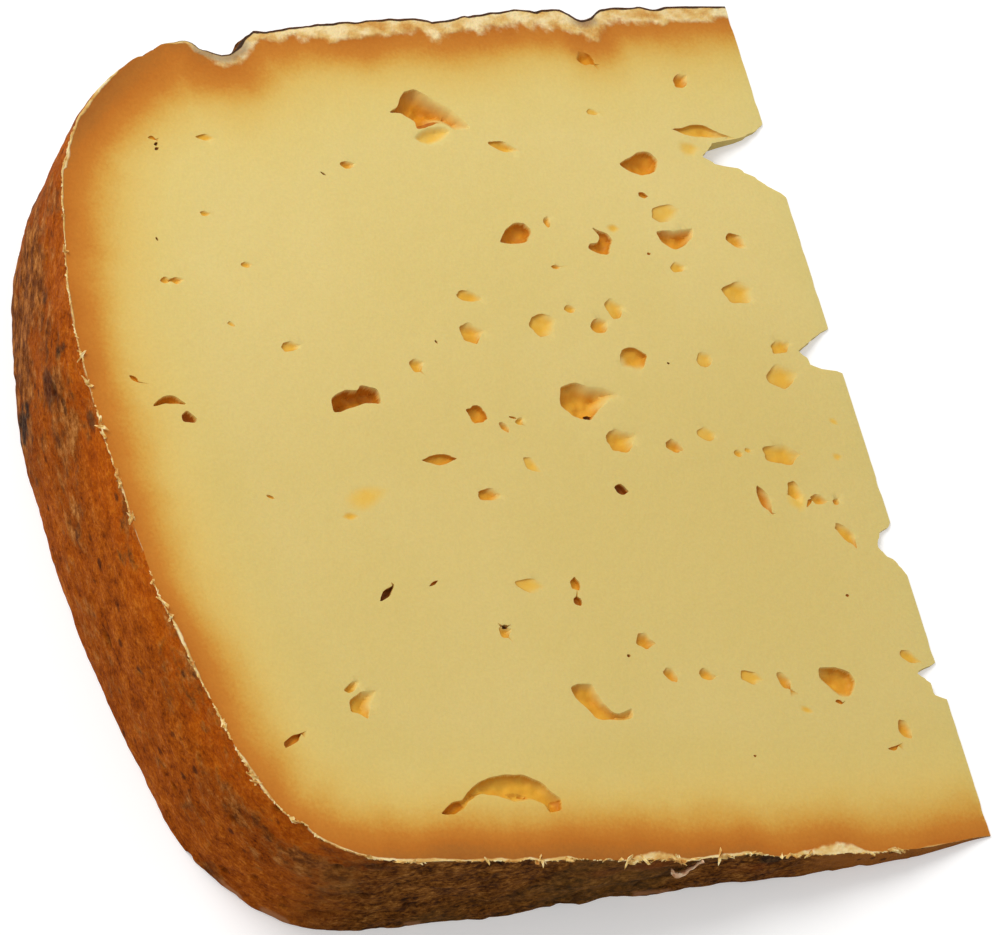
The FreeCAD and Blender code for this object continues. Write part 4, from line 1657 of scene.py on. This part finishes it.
@dataclass(frozen=True)
class RindFinish:
    """The rind: brown-orange on the heel, darker and streaked on the foot and top faces.

    Along and radial say how much the grain is drawn out on the heel and on the flat faces.
    """

    heel: Stops = ((0.34, (86, 34, 2)), (0.44, (146, 66, 2)), (0.53, (176, 86, 6)), (0.64, (210, 122, 32)))
    bright: Stops = ((0.36, (150, 62, 0)), (0.5, (188, 88, 2)), (0.64, (214, 120, 18)))
    mould: Stops = ((0.34, (40, 18, 2)), (0.45, (100, 52, 12)), (0.55, (162, 96, 36)), (0.66, (208, 142, 72)))
    foot: Stops = ((0.37, (28, 12, 2)), (0.44, (84, 44, 8)), (0.53, (144, 86, 28)), (0.63, (196, 132, 62)))
    stain: Stops = ((0.35, (24, 14, 8)), (0.5, (54, 34, 20)), (0.66, (104, 74, 42)))
    olive: Colour = (108, 84, 40)
    rusty: Colour = (140, 66, 20)
    bare: Colour = (178, 108, 42)
    speck: Colour = (66, 32, 12)
    pit: Colour = (44, 22, 10)
    worn: Colour = (192, 132, 88)
    thread: Colour = (226, 196, 140)
    skin: Colour = (58, 38, 22)
    along: Triple = (1, 1.35, 1)
    radial: Triple = (1.6, 1, 1)
    roughness: float = 0.78

    def on_heel(self, nodes: Nodes, mottle: Socket, fleck: Socket) -> Socket:
        """The heel's colour, brighter by the upper cut edge and mouldy in patches.

        Args:
            nodes: the tree's builder.
            mottle: coarse grain.
            fleck: fine grain.

        Returns:
            The colour.
        """
        colour = nodes.ramp(nodes.weigh(fleck, 0.45, mottle), self.heel)
        bright = nodes.ramp(nodes.weigh(fleck, 0.4, mottle), self.bright)
        edge = nodes.sum("ADD", nodes.value("edge"), 3.2)
        ragged = nodes.sum("MULTIPLY_ADD", nodes.grain(5.0, 4.0), -9.0, edge)
        fading = nodes.step(nodes.value("high"), 0.0, 1.0, 1.0, 0.25)
        near = nodes.times(nodes.step(ragged, 1.0, 6.5, 0.85, 0.0), fading)
        colour = nodes.paint(colour, near, bright)
        patch = nodes.grain(9.0, 3.0, (1, 1.6, 1))
        patchy = nodes.sum("MULTIPLY_ADD", nodes.value("mould"), 0.2, nodes.weigh(mottle, 0.4, patch))
        mould = nodes.ramp(nodes.grain(1.5, 6.0, self.along, 0.75), self.mould)
        return nodes.paint(colour, nodes.step(patchy, 0.54, 0.63), mould, 0.85)

    def on_foot(self, nodes: Nodes, streak: Socket) -> Socket:
        """The flat faces' colour.

        Args:
            nodes: the tree's builder.
            streak: fine streaked grain.

        Returns:
            The colour.
        """
        bands = nodes.grain(1.5, 6.0, (1.5, 1, 1), 0.72)
        colour = nodes.ramp(nodes.weigh(streak, 0.6, bands), self.foot)
        olive = nodes.step(nodes.grain(15.0, 2.0), 0.45, 0.62)
        colour = nodes.paint(colour, olive, self.olive, 0.35)
        rusty = nodes.step(nodes.grain(11.0, 3.0, self.radial), 0.55, 0.68)
        return nodes.paint(colour, rusty, self.rusty, 0.6)

    def marked(self, nodes: Nodes, colour: Socket, mottle: Socket, top: Socket) -> Socket:
        """Lays marks over the rind, then a pale thread and dark skin along the upper cut edge.

        Args:
            nodes: the tree's builder.
            colour: the rind's colour.
            mottle: coarse grain.
            top: 1 on the wheel's top face.

        Returns:
            The colour.
        """
        edge = nodes.value("edge")
        under = nodes.value("under")
        thick = nodes.sum("ADD", edge, under)
        bare = nodes.times(nodes.step(thick, 4.2, 6.5, 0.92, 0.0), nodes.step(top, 0.0, 1.0, 1.0, 0.0))
        colour = nodes.paint(colour, bare, self.bare)
        inputs = {"Vector": nodes.place(self.along), "Scale": 1 / (2.3 * MM)}
        cells = nodes.add("ShaderNodeTexVoronoi", inputs).outputs["Distance"]
        specks = nodes.step(nodes.sum("MULTIPLY_ADD", mottle, 0.4, cells), 0.3, 0.42, 1.0, 0.0)
        specks = nodes.times(specks, nodes.step(nodes.grain(6.0, 3.0), 0.42, 0.56))
        colour = nodes.paint(colour, specks, self.speck, 0.75)
        colour = nodes.paint(colour, nodes.value("pit"), self.pit, 0.85)
        stain = nodes.ramp(nodes.grain(0.7, 4.0, self.along, 0.7), self.stain)
        colour = nodes.paint(colour, nodes.value("stain"), stain)
        worn = nodes.step(nodes.grain(7.0, 3.0), 0.6, 0.66)
        worn = nodes.times(worn, nodes.step(under, 0.6, 1.6, 0.8, 0.0))
        colour = nodes.paint(colour, worn, self.worn)
        broken = nodes.step(nodes.grain(1.4, 4.0), 0.48, 0.58)
        thread = nodes.times(nodes.step(edge, 0.06, 0.24, 0.9, 0.0), broken)
        thread = nodes.times(thread, nodes.step(top, 0.0, 1.0, 0.8, 0.0))
        colour = nodes.paint(colour, thread, self.thread)
        return nodes.paint(colour, nodes.times(nodes.step(edge, 0.5, 1.2, 0.9, 0.0), top), self.skin)

    def make(self) -> bpy.types.Material:
        """Builds the material.

        Returns:
            The material.
        """
        material, nodes = new_material("rind")
        top = nodes.value("top")
        foot = nodes.sum("MAXIMUM", nodes.value("foot"), top)
        mottle = nodes.grain(1.7, 6.0, self.along, 0.72)
        fleck = nodes.grain(0.34, 4.0, self.along, 0.7)
        streak = nodes.grain(0.42, 5.0, self.radial, 0.72)
        colour = nodes.paint(self.on_heel(nodes, mottle, fleck), foot, self.on_foot(nodes, streak))
        colour = self.marked(nodes, colour, mottle, top)
        rough = nodes.step(mottle, 0.3, 0.7, self.roughness + 0.1, self.roughness - 0.14)
        fine = nodes.bump(fleck, 0.3, 0.8)
        coarse = nodes.bump(nodes.paint(mottle, foot, streak), 0.7, 0.9, fine)
        nodes.coat(colour, rough, coarse, {"IOR": 1.35, "Specular IOR Level": 0.08})
        return material


@dataclass(frozen=True)
class CreamFinish:
    """Dry flakes and shreds of crust."""

    name: str
    stops: Stops

    def make(self) -> bpy.types.Material:
        """Builds the material.

        Returns:
            The material.
        """
        material, nodes = new_material(self.name)
        colour = nodes.ramp(nodes.grain(0.8, 3.0), self.stops)
        ruffled = nodes.bump(nodes.grain(0.3, 3.0), 0.1, 0.6)
        nodes.coat(colour, 0.7, ruffled, {"Subsurface Weight": 0.1, "Subsurface Scale": 1.0 * MM})
        return material


CREAM = CreamFinish("cream_flakes", ((0.36, (198, 132, 48)), (0.5, (228, 184, 100)), (0.64, (246, 222, 162))))
PEELED = CreamFinish("pale_skin", ((0.36, (190, 134, 92)), (0.5, (220, 172, 130)), (0.64, (242, 208, 172))))


def new_object(name: str, mesh: bpy.types.Mesh) -> bpy.types.Object:
    """Puts a mesh in the scene as an object at the origin.

    Args:
        name: the object's name.
        mesh: its mesh.

    Returns:
        The object.
    """
    thing = bpy.data.objects.new(name, mesh)
    bpy.context.scene.collection.objects.link(thing)
    return thing


@dataclass
class Cheese:
    """The wedge of cheese itself, one closed skin."""

    wheel: Wheel
    side: Side = field(init=False)
    upper: CutFace = field(init=False)
    lower: CutFace = field(init=False)
    crease: float = math.radians(32)
    touching: float = 2e-6

    def __post_init__(self) -> None:
        """Sets up the faces and the side between them."""
        openings = [Opening(*row) for row in BIG_OPENINGS + SMALL_OPENINGS]
        self.upper = CutFace(self.wheel, True, TEARS + openings)
        self.lower = CutFace(self.wheel, False, LowerOpenings().scatter(self.wheel), spacing=1.1, seed=7)
        self.side = Side(self.wheel, self.upper, self.lower)

    def surfaces(self) -> list[Surface]:
        """Makes the side and the two faces.

        Returns:
            The three surfaces, with shared values where they meet.
        """
        on_rind = self.side.on_rind[:-1]
        crust = self.side.crust()
        skin = self.side.skin()
        side = self.side.build()
        side_names = list(side.values)
        upper = self.upper.build(self.side.outline(1.0), on_rind, crust, skin)
        lower = self.lower.build(self.side.outline(0.0), on_rind, crust * 0.6, skin)
        for face in (upper, lower):
            share_values(side, face, side_names)
        return [side, upper, lower]

    def build(self, finishes: list[bpy.types.Material]) -> bpy.types.Object:
        """Makes the wedge.

        Args:
            finishes: the paste's material and the rind's.

        Returns:
            The wedge's object.
        """
        surfaces = self.surfaces()
        places = np.vstack([surface.places for surface in surfaces])
        first = np.cumsum([0] + [len(surface.places) for surface in surfaces])
        triangles = np.vstack([surface.triangles + start for surface, start in zip(surfaces, first)])
        mesh = bpy.data.meshes.new("cheese")
        mesh.from_pydata(places * MM, [], triangles)
        mesh.polygons.foreach_set("material_index", np.concatenate([surface.slots for surface in surfaces]))
        for name in sorted({name for surface in surfaces for name in surface.values}):
            parts = [surface.values.get(name, np.zeros(len(surface.places))) for surface in surfaces]
            values = mesh.attributes.new(name, "FLOAT", "POINT")
            values.data.foreach_set("value", np.concatenate(parts))
        self.close(mesh)
        for finish in finishes:
            mesh.materials.append(finish)
        return new_object("cheese", mesh)

    def close(self, mesh: bpy.types.Mesh) -> None:
        """Joins the surfaces where they meet, turns them outwards and creases the cut edges.

        Args:
            mesh: the surfaces as one mesh, which is changed.
        """
        work = bmesh.new()
        work.from_mesh(mesh)
        bmesh.ops.remove_doubles(work, verts=work.verts, dist=self.touching)
        crowded = {
            min(edge.link_faces, key=lambda face: face.calc_area())
            for edge in work.edges
            if len(edge.link_faces) > 2
        }
        bmesh.ops.delete(work, geom=list(crowded), context="FACES_ONLY")
        gaps = [edge for edge in work.edges if len(edge.link_faces) == 1]
        bmesh.ops.holes_fill(work, edges=gaps, sides=3)
        bmesh.ops.recalc_face_normals(work, faces=work.faces)
        open_edges = sum(1 for edge in work.edges if len(edge.link_faces) != 2)
        LOG.info("slivers mended %d, edges left open %d", len(crowded) + len(gaps), open_edges)
        for face in work.faces:
            face.smooth = True
        for edge in work.edges:
            if len(edge.link_faces) == 2:
                on_paste = 0 in {face.material_index for face in edge.link_faces}
                edge.smooth = not (on_paste and edge.calc_face_angle(0.0) > self.crease)
        work.to_mesh(mesh)
        work.free()


@dataclass
class RimFlakes:
    """Torn flakes of pale crust along the upper cut edge, laid by a node tree.

    They lie a gap apart, and keep is the span of thresholds above which the crowding noise lets a flake
    stay. The flakes' least and greatest half sizes are given along the edge, across it and upwards, spin is
    how far each may turn, and curl is how far their surface is ruffled. Lengths are in millimetres.
    """

    side: Side
    name: str
    gap: float
    keep: Point
    least: Triple
    greatest: Triple
    spin: Triple
    curl: float
    crowd: float
    seed: int
    ruffles: float = 2600.0
    highest: float = 90.0
    nearest: float = 12.0
    sunk: float = 0.1

    def settings(self) -> dict[str, float]:
        """The values that the node tree takes from its modifier, in metres."""
        return {"Gap": self.gap * MM, "Size": MM, "Curl": self.curl * MM}

    def chance(self, nodes: Nodes, kind: str, ends: dict, step: int) -> Socket:
        """A random number or vector for each flake.

        Args:
            nodes: the tree's builder.
            kind: FLOAT or FLOAT_VECTOR.
            ends: its least and greatest value, by the number of their inputs.
            step: picks one of many patterns.

        Returns:
            The number or vector.
        """
        node = nodes.add("FunctionNodeRandomValue", {**ends, "Seed": self.seed + step}, data_type=kind)
        return next(socket for socket in node.outputs if socket.enabled)

    def tree(self, finish: bpy.types.Material) -> bpy.types.NodeTree:
        """Builds the node tree that lays flakes along a line.

        Args:
            finish: the flakes' material.

        Returns:
            The tree.
        """
        tree = bpy.data.node_groups.new(self.name, "GeometryNodeTree")
        face = tree.interface
        face.new_socket("Line", in_out="INPUT", socket_type="NodeSocketGeometry")
        for label in self.settings():
            face.new_socket(label, in_out="INPUT", socket_type="NodeSocketFloat")
        face.new_socket("Flakes", in_out="OUTPUT", socket_type="NodeSocketGeometry")
        nodes = Nodes(tree)
        given = nodes.add("NodeGroupInput").outputs
        curve = nodes.add("GeometryNodeMeshToCurve", {"Mesh": given["Line"]}).outputs[0]
        inputs = {"Curve": curve, "Length": given["Gap"]}
        points = nodes.add("GeometryNodeCurveToPoints", inputs, mode="LENGTH").outputs
        place = nodes.add("GeometryNodeInputPosition").outputs[0]
        inputs = {"Vector": place, "Scale": 1 / (self.crowd * MM), "Detail": 2.0}
        crowd = nodes.add("ShaderNodeTexNoise", inputs).outputs["Fac"]
        threshold = self.chance(nodes, "FLOAT", {2: self.keep[0], 3: self.keep[1]}, 0)
        bare = nodes.sum("LESS_THAN", crowd, threshold)
        inputs = {"Geometry": points["Points"], "Selection": bare}
        kept = nodes.add("GeometryNodeDeleteGeometry", inputs, domain="POINT").outputs[0]
        flake = nodes.add("GeometryNodeMeshIcoSphere", {"Radius": 1.0, "Subdivisions": 1}).outputs["Mesh"]
        stretch = self.chance(nodes, "FLOAT_VECTOR", {0: self.least, 1: self.greatest}, 1)
        sized = nodes.vector("SCALE", {0: stretch, "Scale": given["Size"]})
        back = tuple(-turn for turn in self.spin)
        spin = self.chance(nodes, "FLOAT_VECTOR", {0: back, 1: self.spin}, 2)
        turn = nodes.add("FunctionNodeEulerToRotation", {0: spin}).outputs[0]
        inputs = {"Vector": points["Tangent"]}
        facing = nodes.add("FunctionNodeAlignRotationToVector", inputs, axis="X").outputs[0]
        inputs = {"Rotation": facing, "Rotate By": turn}
        facing = nodes.add("FunctionNodeRotateRotation", inputs).outputs[0]
        inputs = {"Points": kept, "Instance": flake, "Rotation": facing, "Scale": sized}
        laid = nodes.add("GeometryNodeInstanceOnPoints", inputs).outputs[0]
        real = nodes.add("GeometryNodeRealizeInstances", {0: laid}).outputs[0]
        inputs = {"Vector": place, "Scale": self.ruffles, "Detail": 1.0}
        rough = nodes.add("ShaderNodeTexNoise", inputs).outputs["Color"]
        middle = nodes.vector("SUBTRACT", {0: rough, 1: (0.5, 0.5, 0.5)})
        push = nodes.vector("SCALE", {0: middle, "Scale": given["Curl"]})
        torn = nodes.add("GeometryNodeSetPosition", {"Geometry": real, "Offset": push}).outputs[0]
        done = nodes.add("GeometryNodeSetMaterial", {"Geometry": torn, "Material": finish}).outputs[0]
        nodes.add("NodeGroupOutput", {0: done})
        return tree

    def build(self, finish: bpy.types.Material) -> bpy.types.Object:
        """Makes the flakes.

        Args:
            finish: the flakes' material.

        Returns:
            The flakes' object.
        """
        side = self.side
        outline = side.outline(1.0)[side.on_rind[:-1]]
        angle = np.full(len(outline), side.wheel.cut)
        places = side.wheel.to_space(outline[:, 0], outline[:, 1], angle)
        chosen = (outline[:, 1] < self.highest) & (outline[:, 0] > self.nearest)
        line = places[chosen] - side.upper.out() * self.sunk
        mesh = bpy.data.meshes.new(self.name)
        mesh.from_pydata(line * MM, [(step, step + 1) for step in range(len(line) - 1)], [])
        thing = new_object(self.name, mesh)
        lay = thing.modifiers.new("lay", "NODES")
        lay.node_group = self.tree(finish)
        sockets = {item.name: item.identifier for item in lay.node_group.interface.items_tree}
        for label, value in self.settings().items():
            lay[sockets[label]] = value
        bpy.context.view_layer.update()
        result = bpy.data.meshes.new_from_object(thing.evaluated_get(bpy.context.evaluated_depsgraph_get()))
        thing.modifiers.clear()
        thing.data = result
        return thing


def rim_flakes(side: Side) -> list[RimFlakes]:
    """Sets up the crust that stands out of the cut edge.

    Args:
        side: the wedge's side.

    Returns:
        The fine thread along the edge and the coarser shreds.
    """
    thread = RimFlakes(
        side, "rim_thread", gap=0.17, keep=(0.36, 0.64), least=(0.1, 0.05, 0.04), greatest=(0.34, 0.1, 0.09),
        spin=(0.5, 0.4, 0.6), curl=0.22, crowd=3.4, seed=5,
    )
    shreds = RimFlakes(
        side, "rim_shreds", gap=0.16, keep=(0.5, 0.76), least=(0.25, 0.05, 0.04), greatest=(1.0, 0.14, 0.1),
        spin=(0.8, 0.5, 1.1), curl=1.3, crowd=2.2, seed=9,
    )
    return [thread, shreds]


@dataclass
class Peel:
    """A thin shred of skin that has peeled off the foot's rind below the cut edge.

    Its route is given as pairs of how far it has run towards the tip and how far below the edge it lies.
    """

    side: Side
    across: float = 40.9
    route: tuple[Point, ...] = ((0.0, 2.0), (0.5, 2.8), (1.1, 3.0), (1.8, 2.3), (2.5, 1.2), (2.9, 0.1))
    width: float = 0.95
    lift: float = 0.3
    thickness: float = 0.14
    lengths: int = 40
    widths: int = 5
    seed: int = 77

    def build(self, finish: bpy.types.Material) -> bpy.types.Object:
        """Makes the peel.

        Args:
            finish: its material.

        Returns:
            The peel's object.
        """
        side = self.side
        ahead, drop = np.array(self.route).T
        step = np.linspace(0, len(ahead) - 1, self.lengths)
        on_foot = len(side.line) // 4
        start = float(np.interp(self.across, side.line[:on_foot, 0], side.way[:on_foot]))
        shape = np.sin(math.pi * np.linspace(0.04, 0.97, self.lengths)) ** 0.6
        way = start - np.interp(step, range(len(ahead)), ahead)
        thick = side.follow(way, side.line[:, 0]) * side.wheel.cut
        rows = []
        for share in np.linspace(-0.5, 0.5, self.widths):
            height = 1 - (np.interp(step, range(len(drop)), drop) + share * self.width * shape) / thick
            flat, _ = side.flat(way, np.clip(height, 0.0, 1.0))
            places = side.wheel.to_space(flat[:, 0], flat[:, 1], height * side.wheel.cut)
            bent = self.lift * (0.35 + np.sin(math.pi * np.linspace(0, 1, self.lengths)) + 2 * abs(share))
            places[:, 1] -= bent + 0.25 * lumps(places, 0.8, self.seed)
            rows.append(places)
        places = np.stack(rows, axis=1).reshape(-1, 3)
        across = self.widths
        corners = [row * across + column for row in range(self.lengths - 1) for column in range(across - 1)]
        faces = [(first, first + 1, first + across + 1, first + across) for first in corners]
        mesh = bpy.data.meshes.new("peel")
        mesh.from_pydata(places * MM, [], faces)
        mesh.materials.append(finish)
        for face in mesh.polygons:
            face.use_smooth = True
        thing = new_object("peel", mesh)
        wall = thing.modifiers.new("wall", "SOLIDIFY")
        wall.thickness = self.thickness * MM
        wall.offset = 0.0
        return thing


@dataclass
class Studio:
    """The floor, the light and the camera."""

    aim: Triple = (0.0020, -0.0039, 0.0080)
    distance: float = 0.646
    azimuth: float = math.radians(-39.18)
    elevation: float = math.radians(59.9)
    roll: float = math.radians(26.96)
    lens: float = 216.0
    sensor: float = 36.0
    far: float = 20.0
    lamp_place: Triple = (-0.27, 0.35, 0.53)
    lamp_size: float = 0.45
    lamp_power: float = 3.35
    sky: float = 0.57
    floor_size: float = 3.0
    floor_colour: tuple[float, float, float, float] = (0.8, 0.79, 0.78, 1.0)
    floor_glow: float = 0.3

    def floor(self) -> bpy.types.Object:
        """A plain pale floor that looks white to the camera and keeps the wedge's shadow.

        Returns:
            The floor's object.
        """
        material, nodes = new_material("floor")
        matte = nodes.add("ShaderNodeBsdfDiffuse", {"Color": self.floor_colour}).outputs[0]
        seen = nodes.add("ShaderNodeLightPath").outputs
        mirrored = nodes.sum("MAXIMUM", seen["Is Glossy Ray"], seen["Is Transmission Ray"])
        straight = nodes.sum("MAXIMUM", seen["Is Camera Ray"], mirrored)
        glow = {"Color": (1, 1, 1, 1), "Strength": nodes.times(straight, self.floor_glow)}
        white = nodes.add("ShaderNodeEmission", glow).outputs[0]
        both = nodes.add("ShaderNodeAddShader", {0: matte, 1: white}).outputs[0]
        nodes.add("ShaderNodeOutputMaterial", {"Surface": both})
        size = self.floor_size
        mesh = bpy.data.meshes.new("floor")
        corners = [(-size, -size, 0), (size, -size, 0), (size, size, 0), (-size, size, 0)]
        mesh.from_pydata(corners, [], [(0, 1, 2, 3)])
        mesh.materials.append(material)
        return new_object("floor", mesh)

    def lights(self) -> None:
        """Soft light from all round and a large soft lamp above the heel's top corner."""
        world = bpy.data.worlds.new("studio")
        bpy.context.scene.world = world
        world.use_nodes = True
        world.node_tree.nodes.clear()
        nodes = Nodes(world.node_tree)
        seen = nodes.add("ShaderNodeLightPath").outputs
        strength = nodes.sum("MULTIPLY_ADD", seen["Is Camera Ray"], 1 - self.sky, self.sky)
        sky = nodes.add("ShaderNodeBackground", {"Color": (1, 1, 1, 1), "Strength": strength}).outputs[0]
        nodes.add("ShaderNodeOutputWorld", {"Surface": sky})
        lamp = bpy.data.lights.new("key", "AREA")
        lamp.shape = "DISK"
        lamp.size = self.lamp_size
        lamp.energy = self.lamp_power
        key = bpy.data.objects.new("key", lamp)
        key.location = self.lamp_place
        key.rotation_euler = (-Vector(self.lamp_place)).to_track_quat("-Z", "Y").to_euler()
        bpy.context.scene.collection.objects.link(key)

    def camera(self) -> None:
        """The camera, looking down on the upper cut face."""
        away = Vector((
            math.sin(self.azimuth) * math.cos(self.elevation),
            -math.cos(self.azimuth) * math.cos(self.elevation),
            math.sin(self.elevation),
        ))
        level = Vector((math.cos(self.azimuth), math.sin(self.azimuth), 0.0))
        upright = away.cross(level)
        right = level * math.cos(self.roll) + upright * math.sin(self.roll)
        up = upright * math.cos(self.roll) - level * math.sin(self.roll)
        lens = bpy.data.cameras.new("camera")
        lens.sensor_width = self.sensor
        lens.lens = self.lens
        lens.clip_end = self.far
        eye = bpy.data.objects.new("camera", lens)
        turn = Matrix((right, up, away)).transposed().to_4x4()
        eye.matrix_world = Matrix.Translation(Vector(self.aim) + away * self.distance) @ turn
        bpy.context.scene.collection.objects.link(eye)
        bpy.context.scene.camera = eye

    def build(self) -> None:
        """Sets up the whole studio."""
        self.floor()
        self.lights()
        self.camera()
        bpy.context.scene.view_settings.view_transform = "Standard"


def report(piece: bpy.types.Object) -> None:
    """Logs a piece's size.

    Args:
        piece: the finished piece.
    """
    mesh = piece.data
    corners = np.array([vertex.co for vertex in mesh.vertices])
    size = (corners.max(axis=0) - corners.min(axis=0)) / MM
    mesh.calc_loop_triangles()
    LOG.info("%s: %d triangles, %s mm", piece.name, len(mesh.loop_triangles), np.round(size, 1))


def main() -> None:
    """Builds every piece and dresses it."""
    logging.basicConfig(level=logging.INFO, format="%(name)s %(message)s")
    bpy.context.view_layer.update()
    paste = PasteFinish().make()
    rind = RindFinish().make()
    cream = CREAM.make()
    wheel = Wheel()
    cheese = Cheese(wheel)
    wedge = cheese.build([paste, rind])
    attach(wedge, BODY)
    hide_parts(NODE)
    report(wedge)
    trims = [flakes.build(cream) for flakes in rim_flakes(cheese.side)]
    trims.append(Peel(cheese.side).build(PEELED.make()))
    for piece in trims:
        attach(piece, BODY)
        report(piece)
    Studio().build()


if __name__ == "__main__":
    main()
